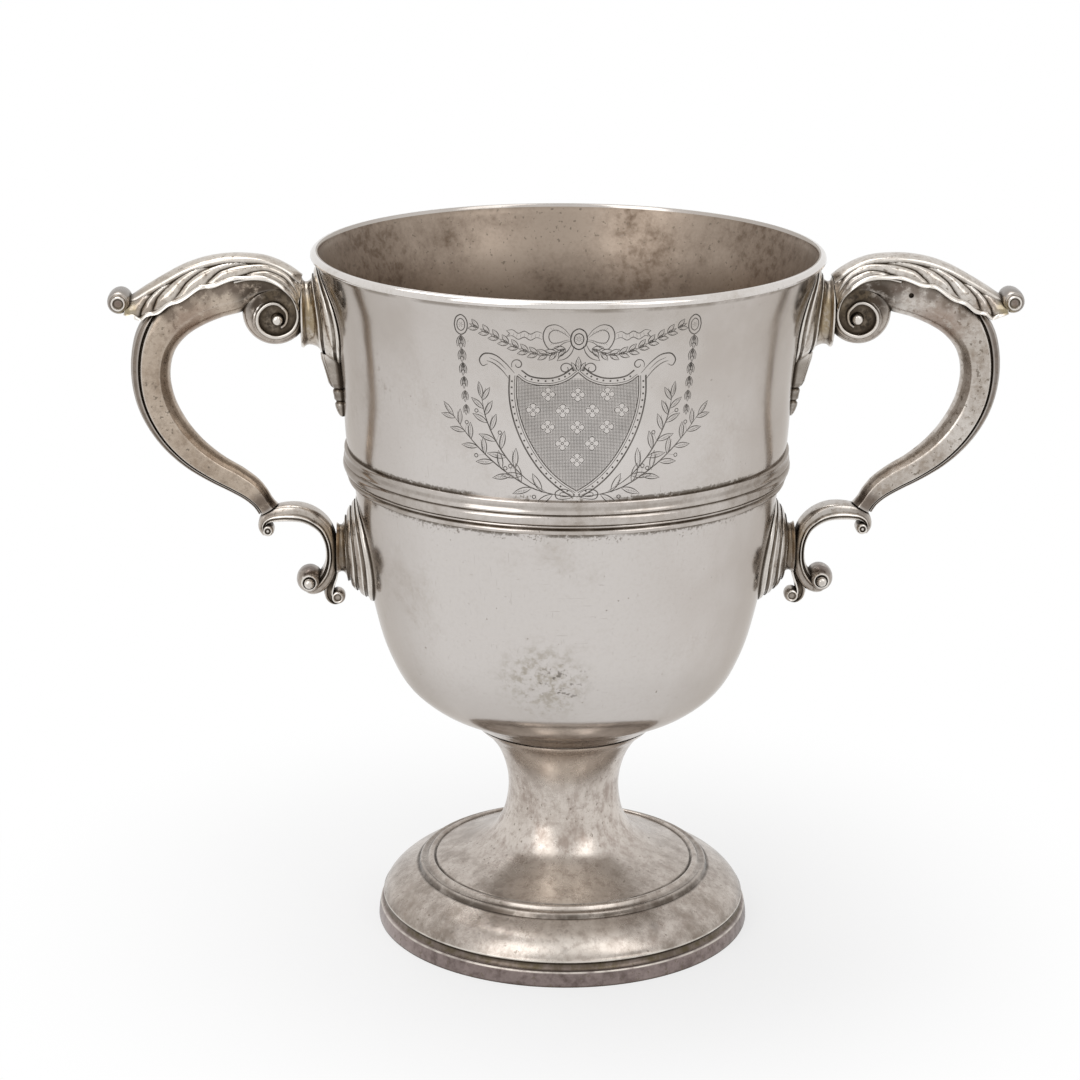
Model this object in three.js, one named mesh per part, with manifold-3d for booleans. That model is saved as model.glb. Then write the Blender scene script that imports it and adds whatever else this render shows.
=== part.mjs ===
// Silver two-handled cup: a raised bowl with a lip wire and a girdle, a raised pedestal foot on a
// moulded ring, and two hollow cast S-shaped handles that end in sockets soldered to the bowl.
// Millimetres, +Z up, handles along X. The origin is under the middle of the foot.

import * as THREE from 'three';
import { mergeVertices } from 'three/addons/utils/BufferGeometryUtils.js';
import Module from 'manifold-3d';

const wasm = await Module();
wasm.setup();

// Driving dimensions
const CUP_HEIGHT = 175;
const RIM_INNER_RADIUS = 60.9;
const RIM_OUTER_RADIUS = 61.55;
const LIP_OUTER_RADIUS = 62.9;
const LIP_WIRE_HEIGHT = 1.5;
const LIP_DROP = 0.35;
const WALL = 1;
const BOWL_BOTTOM = 50.6;
const GIRDLE_TOP = 126.2;
const GIRDLE_BOTTOM = 118;
const FOOT_RADIUS = 47.7;
const FOOT_RING_INNER_RADIUS = 44.8;
const FOOT_RING_HEIGHT = 5.6;
const STEM_TOP_RADIUS = 22.4;
const SOLDER_GAP = 0.3;
const GRIP_WALL = 1.1;
const GRIP_HALF_DEPTH = 4.6;
const GRIP_KNEE_SHARE = 0.62;
const LEAF_HALF_DEPTH = 5.9;
const VOLUTE_RADIUS = 8.2;
const VOLUTE_HALF_DEPTH = 5.2;
const BOSS_HALF_DEPTH = 6.2;
const THUMB_RADIUS = 3;
const LOWER_ROLL_RADIUS = 3.3;
const CURL_RADIUS = 2;
const VENT_RADIUS = 0.7;

// Places on the handle of the +X side: X, and Z where there is one
const COLLAR_X = 65.2;
const LOWER_COLLAR_X = 56.4;
const UPPER_SOCKET_Z = 159;
const LOWER_SOCKET_Z = 98.8;
const VOLUTE = { x: 71.4, z: 158.9 };
const VENT = { x: 83.9, z: 164.1 };
const THUMB = { x: 109.5, z: 162.2 };
const LOWER_ROLL = { x: 64.3, z: 90.9 };
const CURL = { x: 57.2, z: 86.3 };

// Faceting: steps round the turned bodies, round a socket, round a scroll, along the grip
const AROUND = 40;
const OVAL_SIDES = 14;
const SCROLL_SIDES = 18;
const SMALL_SCROLL_SIDES = 14;
const GRIP_STEPS = 24;

// Finishes
const bodySilver = { color: 0xc9c3bd, roughness: 0.25, metalness: 1 };
const castSilver = { color: 0xa89c90, roughness: 0.35, metalness: 1 };
const footSilver = { color: 0xb3a9a3, roughness: 0.3, metalness: 1 };

function makeMesh(name, geometry, finish) {
  const mesh = new THREE.Mesh(geometry, new THREE.MeshStandardMaterial(finish));
  mesh.name = name;
  return mesh;
}

// Shape helpers

function points2(pairs) {
  return pairs.map(([x, y]) => new THREE.Vector2(x, y));
}

function smoothLine(pairs, steps) {
  return new THREE.SplineCurve(points2(pairs)).getPoints(steps);
}

// A profile moved sideways, square to itself; a positive distance moves it to the axis side
// of a line that climbs.
function offsetLine(line, distance) {
  return line.map((point, i) => {
    const before = line[Math.max(i - 1, 0)];
    const after = line[Math.min(i + 1, line.length - 1)];
    const along = after.clone().sub(before).normalize();
    const moved = new THREE.Vector2(point.x - along.y * distance, point.y + along.x * distance);
    moved.x = Math.max(moved.x, 0);
    return moved;
  });
}

// A turned body about +Z from (radius, height) points that close on themselves.
function turned(profile, segments = AROUND) {
  const geometry = new THREE.LatheGeometry(profile, segments);
  geometry.rotateX(Math.PI / 2);
  return outward(geometry);
}

function closedRing(points) {
  return [...points, points[0].clone()];
}

function signedVolume(geometry) {
  const position = geometry.getAttribute('position');
  const index = geometry.index;
  const [a, b, c] = [new THREE.Vector3(), new THREE.Vector3(), new THREE.Vector3()];
  let sum = 0;
  for (let i = 0; i < index.count; i += 3) {
    a.fromBufferAttribute(position, index.getX(i));
    b.fromBufferAttribute(position, index.getX(i + 1));
    c.fromBufferAttribute(position, index.getX(i + 2));
    sum += a.dot(b.cross(c)) / 6;
  }
  return sum;
}

// The same body with its faces turned outward and its shared points merged.
function outward(geometry) {
  geometry.deleteAttribute('normal');
  geometry.deleteAttribute('uv');
  const merged = mergeVertices(geometry, 1e-4);
  const faces = [];
  const corners = merged.index.array;
  for (let i = 0; i < corners.length; i += 3) {
    const [p, q, r] = corners.slice(i, i + 3);
    if (p !== q && q !== r && r !== p) faces.push(p, q, r);
  }
  merged.setIndex(faces);
  if (signedVolume(merged) < 0) {
    for (let i = 0; i < faces.length; i += 3) [faces[i], faces[i + 1]] = [faces[i + 1], faces[i]];
    merged.setIndex(faces);
  }
  return merged;
}

// A closed body through rings of equal point counts; outline is the flat shape of both ends.
function loft(rings, outline) {
  const sides = outline.length;
  const faces = [];
  for (let i = 0; i < rings.length - 1; i++) {
    for (let j = 0; j < sides; j++) {
      const [a, b] = [i * sides + j, i * sides + ((j + 1) % sides)];
      faces.push(a, b, b + sides, a, b + sides, a + sides);
    }
  }
  const last = (rings.length - 1) * sides;
  const lid = THREE.ShapeUtils.triangulateShape(outline, []);
  const clockwise = THREE.ShapeUtils.area(outline) > 0;
  for (const [a, b, c] of lid) {
    if (clockwise) faces.push(a, c, b, last + a, last + b, last + c);
    else faces.push(a, b, c, last + a, last + c, last + b);
  }
  const geometry = new THREE.BufferGeometry();
  const flat = rings.flat().flatMap((point) => [point.x, point.y, point.z]);
  geometry.setAttribute('position', new THREE.Float32BufferAttribute(flat, 3));
  geometry.setIndex(faces);
  return outward(geometry);
}

// A track lies in the XZ plane; each of its points holds X, half thickness and Z.
function track(points) {
  return new THREE.CatmullRomCurve3(points.map(([x, half, z]) => new THREE.Vector3(x, half, z)));
}

// The place, half thickness and outer direction of a track at t.
function station(path, t) {
  const point = path.getPoint(t);
  const along = path.getTangent(t).setY(0).normalize();
  const place = new THREE.Vector3(point.x, 0, point.z);
  return { place, half: point.y, out: new THREE.Vector3(-along.z, 0, along.x) };
}

// A body along a track between two values of t; section gives (outward, depth) points.
function alongTrack(path, from, to, steps, section) {
  let outline;
  const rings = [];
  for (let i = 0; i <= steps; i++) {
    const t = from + ((to - from) * i) / steps;
    const { place, half, out } = station(path, t);
    outline = section(half, t);
    rings.push(outline.map(({ x, y }) => place.clone().addScaledVector(out, x).setY(y)));
  }
  return loft(rings, outline);
}

function oval(halfOut, halfDepth, sides = OVAL_SIDES) {
  return Array.from({ length: sides }, (_, i) => {
    const angle = (2 * Math.PI * i) / sides;
    return new THREE.Vector2(halfOut * Math.cos(angle), halfDepth * Math.sin(angle));
  });
}

// Joining and cutting

function toSolid(geometry) {
  const mesh = new wasm.Mesh({
    numProp: 3,
    vertProperties: Float32Array.from(geometry.getAttribute('position').array),
    triVerts: Uint32Array.from(geometry.index.array),
  });
  return new wasm.Manifold(mesh);
}

function fromSolid(solid) {
  const mesh = solid.getMesh();
  const geometry = new THREE.BufferGeometry();
  geometry.setAttribute('position', new THREE.Float32BufferAttribute(mesh.vertProperties, 3));
  geometry.setIndex(Array.from(mesh.triVerts));
  return geometry;
}

function cut(body, ...tools) {
  return fromSolid(tools.reduce((rest, tool) => rest.subtract(toSolid(tool)), toSolid(body)));
}

function join(...bodies) {
  return fromSolid(bodies.map(toSolid).reduce((all, body) => all.add(body)));
}

// A scroll turned about an axis along Y through a place; half of its profile, as (radius, depth)
// points, is mirrored about the middle plane, so both of its ends are alike.
function scroll(half, place, segments) {
  const mirrored = half.map(([radius, depth]) => [radius, -depth]).reverse();
  const geometry = turned(points2([...mirrored, ...half]), segments);
  geometry.rotateX(Math.PI / 2);
  geometry.translate(place.x, 0, place.z);
  return geometry;
}

// From one number to another as t passes through a range, with soft ends.
function ease(from, to, t, start, end) {
  return THREE.MathUtils.lerp(from, to, THREE.MathUtils.smoothstep(t, start, end));
}

// Directions over half a turn, in equal steps.
function halfTurn(steps) {
  return Array.from({ length: steps + 1 }, (_, i) => (Math.PI * i) / steps);
}

// Bowl: one raised sheet, full in the belly, nearly upright above the girdle, flared to the lip.
const BOWL_FLAT_RADIUS = 12;
const bowlOutside = [
  ...smoothLine([[BOWL_FLAT_RADIUS, BOWL_BOTTOM], [22.6, 53.2], [28.2, 56.8], [34.6, 60.1],
    [40.2, 65], [45, 74], [48.1, 85], [50.4, 98], [52.5, 114], [53.3, 121], [54.7, 128]], 13),
  ...smoothLine([[55.2, 138], [56.2, 151], [58.4, 163.5], [61.5, 173]], 4),
];

function bowl() {
  const outside = [...bowlOutside, new THREE.Vector2(RIM_OUTER_RADIUS, CUP_HEIGHT)];
  const floor = BOWL_BOTTOM + WALL;
  const inside = offsetLine(outside, WALL);
  inside[0].set(BOWL_FLAT_RADIUS, floor);
  inside[inside.length - 1].set(RIM_INNER_RADIUS, CUP_HEIGHT);
  return turned([
    new THREE.Vector2(0, BOWL_BOTTOM), ...outside, ...inside.reverse(), new THREE.Vector2(0, floor)]);
}

function wallRadius(z) {
  const above = Math.max(bowlOutside.findIndex((point) => point.y > z), 1);
  const [low, high] = [bowlOutside[above - 1], bowlOutside[above]];
  return THREE.MathUtils.mapLinear(z, low.y, high.y, low.x, high.x);
}

// Where the bowl's outer face lies at a depth y and a height z, on the +X side.
function wallX(y, z) {
  return Math.sqrt(wallRadius(z) ** 2 - y ** 2);
}

function lipWire() {
  const inner = RIM_OUTER_RADIUS + SOLDER_GAP;
  const half = LIP_WIRE_HEIGHT / 2;
  const middle = CUP_HEIGHT - LIP_DROP - half;
  const round = new THREE.EllipseCurve(inner, middle, LIP_OUTER_RADIUS - inner, half, -Math.PI / 2,
    Math.PI / 2).getPoints(4);
  return turned(closedRing(round));
}

// Girdle: a drawn moulded wire, fillet and hollow above, a broad round, reeds below.
function girdleWire() {
  const face = [[53.6, GIRDLE_BOTTOM], [54, 118.8], [54.3, 119.8], [55.4, 121.4], [55.6, 122.8],
    [55.4, 124.8], [55.1, GIRDLE_TOP]];
  const back = [GIRDLE_TOP, GIRDLE_BOTTOM].map((z) => [wallRadius(z) + SOLDER_GAP, z]);
  return turned(closedRing(points2([...face, ...back])));
}

// Foot: one raised sheet, a spool-shaped stem spreading over a low disc, a reeded step, a dome.
function foot() {
  const stem = smoothLine([[STEM_TOP_RADIUS, 52.6], [19.5, 49.9], [16.7, 46], [15.1, 42],
    [14.12, 36], [14.4, 32], [15.3, 28], [18, 23.2], [23.8, 19], [33, 15.8]], 12);
  const step = points2([[33.6, 15.9], [34.6, 15.6], [35.4, 14.9], [36.5, 14.8], [37.3, 13.8]]);
  const dome = smoothLine([[38.9, 12.9], [42.3, 10.9], [45.2, 8.6], [46.3, 5.9]], 4);
  const outside = [...stem, ...step, ...dome];
  const inside = smoothLine([[STEM_TOP_RADIUS - 1.5, 51.9], [15.2, 46], [13.7, 41], [12.9, 36],
    [13.3, 31], [15.6, 25], [21.6, 18.6], [32.6, 14.4]], 8);
  const under = smoothLine([[36.2, 12.7], [41.2, 9.9], [44, 7.7], [45, 5.9]], 3);
  return turned(closedRing([...outside, ...[...inside, ...under].reverse()]));
}

function footRing() {
  const face = [[FOOT_RADIUS, 0], [47.5, 2], [47.1, 3.8], [46.2, 4.3], [45.9, 5],
    [46.3, FOOT_RING_HEIGHT]];
  const back = [FOOT_RING_HEIGHT, 0].map((z) => [FOOT_RING_INNER_RADIUS, z]);
  return turned(closedRing(points2([...face, ...back])));
}

// Handle, drawn on the +X side; its middle plane is the XZ plane.
const gripTrack = track([[66.4, 3.3, 165.8], [70.2, 3.7, 167], [75.1, 4.4, 166.7], [80.6, 5.9, 165],
  [86.5, 6, 163.6], [92, 5.7, 160.9], [96.7, 4.9, 156.8], [100, 4.1, 151.4], [101.3, 3.7, 144.9],
  [100.4, 3.65, 137.3], [97.1, 3.6, 130.2], [92.3, 3.4, 124.4], [86.6, 3.1, 120], [81.5, 2.9, 117],
  [77.9, 2.6, 114.7], [75.8, 2.1, 112.4], [74.7, 1.7, 110.3]]);

// The grip is thinner front to back at its knee.
function gripDepth(t) {
  return GRIP_HALF_DEPTH * ease(1, GRIP_KNEE_SHARE, t, 0.6, 1);
}

// One half of the hollow grip; the joint between the halves runs along the middle plane.
function gripHalf(side) {
  const seam = SOLDER_GAP / 2;
  const arc = (halfOut, halfDepth) => halfTurn(5).map((angle) => {
    const depth = seam + (halfDepth - seam) * Math.sin(angle);
    return new THREE.Vector2(halfOut * Math.cos(angle), side * depth);
  });
  return alongTrack(gripTrack, 0, 1, GRIP_STEPS, (half, t) => [
    ...arc(half, gripDepth(t)),
    ...arc(half - GRIP_WALL, gripDepth(t) - GRIP_WALL).reverse(),
  ]);
}

// The space that the grip fills, with the gap around it, for cutting its neighbours.
function gripRoom() {
  return alongTrack(gripTrack, 0, 1, GRIP_STEPS, (half, t) =>
    oval(half + SOLDER_GAP, gripDepth(t) + SOLDER_GAP, 10));
}

// Everything on the bowl's side of the collar, with the gap to it.
function socketSide() {
  const width = 10;
  const block = new THREE.BoxGeometry(width, 20, 40);
  return outward(block.translate(COLLAR_X + SOLDER_GAP - width / 2, 0, UPPER_SOCKET_Z));
}

// Scroll that the grip rolls into under the leaf: domed sides, a sunk spiral and a boss.
function volute() {
  const face = [[VOLUTE_RADIUS, 1.2], [7.6, 3.4], [5.2, VOLUTE_HALF_DEPTH], [4.6, VOLUTE_HALF_DEPTH],
    [4, 4], [1.6, 4], [1.2, 5.8], [0, BOSS_HALF_DEPTH]];
  return cut(scroll(face, VOLUTE, SCROLL_SIDES), gripRoom(), socketSide());
}

// The space that the scroll's body fills, with the gap around it.
function voluteRoom() {
  const depth = VOLUTE_HALF_DEPTH + SOLDER_GAP;
  const face = [[VOLUTE_RADIUS + SOLDER_GAP, 1.4], [7.9, 3.6], [5.4, depth], [0, depth]];
  return scroll(face, VOLUTE, SCROLL_SIDES);
}

function ventHole() {
  const drill = new THREE.CylinderGeometry(VENT_RADIUS, VENT_RADIUS, 4, 8);
  return outward(drill.translate(VENT.x, -GRIP_HALF_DEPTH, VENT.z));
}

// Strip along the back of the grip, from under the leaf's tip to the knee.
function spineStrip() {
  const widthShare = 0.72;
  return alongTrack(gripTrack, 0.43, 0.985, 16, (half, t) => {
    const proud = ease(2.4, 0.6, t, 0.45, 0.8);
    const foot = half + SOLDER_GAP;
    const depth = gripDepth(t) * widthShare;
    return points2([[foot, -depth], [foot + proud * 0.7, -depth], [foot + proud, -depth * 0.4],
      [foot + proud, depth * 0.4], [foot + proud * 0.7, depth], [foot, depth]]);
  });
}

// Leaf over the top of the grip; its track follows the leaf's lower edge.
const leafTrack = track([[66, 4.2, 164.6], [69.6, 3.7, 166.8], [75.1, 4.2, 167.8], [81.1, 4.9, 167.5],
  [87.5, 5.6, 166.1], [94, 6, 163.8], [99.4, 6.6, 160.4], [103.6, 6, 158.2], [106.6, 4.4, 158.2]]);

function leafCap() {
  const tipShare = 0.62;
  const blank = alongTrack(leafTrack, 0, 1, 14, (height, t) => {
    const depth = LEAF_HALF_DEPTH * ease(1, tipShare, t, 0.6, 1);
    return halfTurn(6).map((angle) =>
      new THREE.Vector2(height * Math.sin(angle), depth * Math.cos(angle)));
  });
  const stripRoom = alongTrack(gripTrack, 0.4, 0.5, 4, (half) => oval(half + 3.1, 3.8, 10));
  return cut(blank, gripRoom(), voluteRoom(), stripRoom, socketSide());
}

// Small rolled scroll on the leaf's tip, for the thumb; its inner side is flat against the leaf.
function thumbScroll() {
  const face = [[THUMB_RADIUS, 1], [2.8, 3], [1.9, 4.9], [0, 5.2]];
  const leafRoom = new THREE.BoxGeometry(2, 12, 12).translate(106.1, 0, 161);
  return cut(scroll(face, THUMB, SMALL_SCROLL_SIDES), outward(leafRoom));
}

// Sockets: round mouldings that spread from a collar on the handle to the bowl's curved face.
// Each ring holds half width, half height, and how far it stands from wall (0) to collar (1).
function socket(rings, centreZ, collarX) {
  const outline = oval(1, 1);
  const placed = rings.map(([halfWidth, halfHeight, reach]) => outline.map(({ x, y }) => {
    const [depth, z] = [halfWidth * x, centreZ + halfHeight * y];
    const onWall = wallX(depth, z) + SOLDER_GAP;
    return new THREE.Vector3(THREE.MathUtils.lerp(onWall, collarX, reach), depth, z);
  }));
  return loft(placed, outline);
}

function upperSocket() {
  const base = [[4, 4, 0], [9, 8.6, 0], [13.2, 12.4, 0]];
  const flare = [[13.4, 12.8, 0.14], [12.2, 12.2, 0.34], [11.2, 11.6, 0.3], [9.6, 11.2, 0.6],
    [8.6, 10.2, 0.56], [7.6, 9.6, 0.74], [5.4, 8.2, 0.78], [5.6, 8.2, 1]];
  return socket([...base, ...flare], UPPER_SOCKET_Z, COLLAR_X);
}

function lowerSocket() {
  const base = [[4, 4, 0], [9, 8.6, 0], [14, 13.2, 0]];
  const flare = [[14.2, 13.5, 0.14], [13, 12.4, 0.26], [12.2, 11.8, 0.22], [10.4, 10.4, 0.42],
    [9.6, 9.8, 0.38], [7.6, 8, 0.6], [4.6, 6.2, 0.7], [4.2, 5.8, 1]];
  return socket([...base, ...flare], LOWER_SOCKET_Z, LOWER_COLLAR_X);
}

// Husk that hangs from the upper socket, flat against the bowl, with a bead and a tip.
function huskDrop() {
  const levels = [[145.8, 2.6, 2.6], [143.5, 2.7, 3], [139.9, 2.2, 2.4], [139.1, 1.4, 1.6],
    [138.1, 2, 2.2], [136.3, 2, 2], [135.6, 1.2, 1.4], [134.7, 1.9, 1.8], [132.5, 0.8, 0.8]];
  let outline;
  const rings = levels.map(([z, halfWidth, proud]) => {
    outline = halfTurn(4).map((angle) =>
      new THREE.Vector2(halfWidth * Math.cos(angle), proud * Math.sin(angle)));
    return outline.map(({ x, y }) => new THREE.Vector3(wallX(x, z) + SOLDER_GAP + y, x, z));
  });
  return loft(rings, outline);
}

// Lower scroll: a small curl under the knee, an arch, and a heavier roll at the foot of it.
const scrollTrack = track([[73.4, 0.8, 104.4], [74, 0.9, 103.4], [75, 0.8, 104.6], [74.4, 1.5, 107.3],
  [71.8, 2, 108.1], [68.9, 2.15, 108.4], [65.7, 2.1, 108.1], [62.8, 2, 106.8], [60.5, 1.8, 104.7],
  [59.1, 1.6, 101.6], [58.6, 1.55, 98.2], [58.9, 1.6, 94.8], [60.3, 1.8, 91.8], [62.8, 2.2, 90.2]]);

function cScroll() {
  const band = alongTrack(scrollTrack, 0, 1, 26, (half, t) => oval(half, ease(2.4, 3.6, t, 0.1, 0.4), 8));
  const face = [[LOWER_ROLL_RADIUS, 1], [2.9, 3], [1.5, 4.6], [1.2, 5.9], [0, BOSS_HALF_DEPTH]];
  return join(band, scroll(face, LOWER_ROLL, SMALL_SCROLL_SIDES));
}

// Small curled leaf that hangs below the lower scroll.
function sprig() {
  const stalk = track([[57, 0.9, 92], [57.5, 1.1, 90.2], [58, 1, 88.6], [57.8, 0.8, 86.8]]);
  const stem = alongTrack(stalk, 0, 1, 6, (half) => oval(half, 2, 8));
  const curl = scroll([[CURL_RADIUS, 0.8], [1.7, 2.2], [0, 2.9]], CURL, 12);
  const room = alongTrack(scrollTrack, 0.7, 1, 10, (half) => oval(half + SOLDER_GAP, 4, 8));
  return cut(join(stem, curl), room);
}

// One handle on the +X side; the handle on the other side is the same one turned half round,
// so its front and back halves change places. The vent of the hollow grip is on one half only.
function handle(sideName, turnedRound) {
  const group = new THREE.Group();
  const [near, far] = turnedRound ? ['back', 'front'] : ['front', 'back'];
  const nearHalf = turnedRound ? gripHalf(-1) : cut(gripHalf(-1), ventHole());
  const pieces = {
    [`grip_${near}_half`]: nearHalf,
    [`grip_${far}_half`]: gripHalf(1),
    volute: volute(),
    spine_strip: spineStrip(),
    leaf_cap: leafCap(),
    thumb_scroll: thumbScroll(),
    upper_socket: upperSocket(),
    husk_drop: huskDrop(),
    c_scroll: cScroll(),
    sprig: sprig(),
    lower_socket: lowerSocket(),
  };
  for (const [name, geometry] of Object.entries(pieces)) {
    group.add(makeMesh(`${sideName}_${name}`, geometry, castSilver));
  }
  group.rotation.z = turnedRound ? Math.PI : 0;
  return group;
}

const cup = new THREE.Group();
cup.add(
  makeMesh('bowl', bowl(), bodySilver),
  makeMesh('lip_wire', lipWire(), bodySilver),
  makeMesh('girdle_wire', girdleWire(), bodySilver),
  makeMesh('foot', foot(), footSilver),
  makeMesh('foot_ring', footRing(), footSilver),
  handle('right', false),
  handle('left', true),
);

export default cup;
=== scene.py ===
import math

import bpy
from mathutils import Matrix, Vector
from mathutils.geometry import interpolate_bezier


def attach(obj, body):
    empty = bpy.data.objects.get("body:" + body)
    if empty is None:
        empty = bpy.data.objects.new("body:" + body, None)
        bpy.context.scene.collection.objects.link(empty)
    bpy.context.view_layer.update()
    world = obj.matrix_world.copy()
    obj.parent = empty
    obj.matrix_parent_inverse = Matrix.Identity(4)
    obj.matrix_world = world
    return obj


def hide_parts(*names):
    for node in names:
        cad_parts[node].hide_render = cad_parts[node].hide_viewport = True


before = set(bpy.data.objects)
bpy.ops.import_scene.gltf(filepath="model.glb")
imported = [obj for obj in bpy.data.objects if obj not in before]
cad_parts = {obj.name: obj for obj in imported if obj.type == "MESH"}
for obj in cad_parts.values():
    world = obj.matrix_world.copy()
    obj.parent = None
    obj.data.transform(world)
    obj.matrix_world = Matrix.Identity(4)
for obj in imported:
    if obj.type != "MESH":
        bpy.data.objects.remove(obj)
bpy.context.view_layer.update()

# Bowl
# The bowl is one sheet of silver, raised with the hammer: full in the belly and flared to the lip. Its outside
# is worn bright under a thin brown film; its inside has gone brown, because no cloth gets down there.
MM = 0.001
AROUND = 192
WALL = 1.0
BOWL_BOTTOM = 50.6
BROWN_FLOOR = 52.0
BROWN_EDGE = 174.1
RIM_TOP = 175.0
EDGE_SHINE = (0.80, 0.77, 0.74, 1)


def put_down():
    """Leave edit mode and let go of everything, so an operator acts on the next piece alone."""
    if bpy.context.object and bpy.context.object.mode != "OBJECT":
        bpy.ops.object.mode_set(mode="OBJECT")
    bpy.ops.object.select_all(action="DESELECT")


def take(piece):
    """Pick up one piece."""
    put_down()
    piece.select_set(True)
    bpy.context.view_layer.objects.active = piece


def smooth_through(points, steps):
    """Places along one smooth line through the given points."""
    knots = [Vector(point) for point in points]
    slopes = []
    for i, knot in enumerate(knots):
        before, after = knots[max(i - 1, 0)], knots[min(i + 1, len(knots) - 1)]
        back, ahead = (knot - before).length, (after - knot).length
        if back == 0 or ahead == 0:
            slopes.append((after - before) / (back + ahead))
        else:
            slopes.append(((after - knot) * back / ahead + (knot - before) * ahead / back) / (back + ahead))
    line = [knots[0]]
    for i in range(len(knots) - 1):
        third = (knots[i + 1] - knots[i]).length / 3
        handles = knots[i] + slopes[i] * third, knots[i + 1] - slopes[i + 1] * third
        line += interpolate_bezier(knots[i], *handles, knots[i + 1], steps + 1)[1:]
    return line


def draw_line(name, points):
    """Draw a line of vertices point by point, in millimetres, and stay in edit mode on it."""
    put_down()
    bpy.ops.mesh.primitive_plane_add(size=MM)
    piece = bpy.context.object
    piece.name = piece.data.name = name
    bpy.ops.object.mode_set(mode="EDIT")
    bpy.ops.mesh.merge(type="CENTER")
    at = Vector((0, 0, 0))
    for i, point in enumerate(points):
        step = (Vector(point) - at) * MM
        if i:
            bpy.ops.mesh.extrude_region_move(TRANSFORM_OT_translate={"value": step})
        else:
            bpy.ops.transform.translate(value=step)
        at = Vector(point)
    return piece


def only_ends(piece):
    """Select the two loose ends of a drawn line."""
    bpy.ops.object.mode_set(mode="OBJECT")
    bonds = [0] * len(piece.data.vertices)
    for edge in piece.data.edges:
        for corner in edge.vertices:
            bonds[corner] += 1
    for vertex, count in zip(piece.data.vertices, bonds):
        vertex.select = count == 1
    bpy.ops.object.mode_set(mode="EDIT")
    bpy.ops.mesh.select_mode(type="VERT")


def spin_round(name, profile, closed=True, around=AROUND):
    """Turn a profile of (radius, height) points about the cup's axis, as on a lathe."""
    piece = draw_line(name, [(radius, 0, height) for radius, height in profile])
    if closed:
        only_ends(piece)
        bpy.ops.mesh.edge_face_add()
    bpy.ops.mesh.select_all(action="SELECT")
    bpy.ops.mesh.spin(steps=around, angle=math.tau, center=(0, 0, 0), axis=(0, 0, 1))
    bpy.ops.mesh.select_all(action="SELECT")
    bpy.ops.mesh.remove_doubles(threshold=0.002 * MM)
    bpy.ops.mesh.normals_make_consistent(inside=False)
    put_down()
    return piece


def smooth_faces(piece, angle=40):
    take(piece)
    bpy.ops.object.shade_smooth_by_angle(angle=math.radians(angle))
    put_down()


def offset_inward(line, distance):
    """A profile moved square to itself towards the inside of the cup."""
    moved = []
    for i, point in enumerate(line):
        before, after = line[max(i - 1, 0)], line[min(i + 1, len(line) - 1)]
        along = (after - before).normalized()
        moved.append(Vector((point.x - along.y * distance, point.y + along.x * distance)))
    return moved


def set_in_frame(piece, slot, finish, *nodes):
    """The piece rides on the cup, stands for its solids and takes its finish."""
    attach(piece, "root")
    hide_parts(*nodes)
    piece.data.materials.append(finish)


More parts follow.
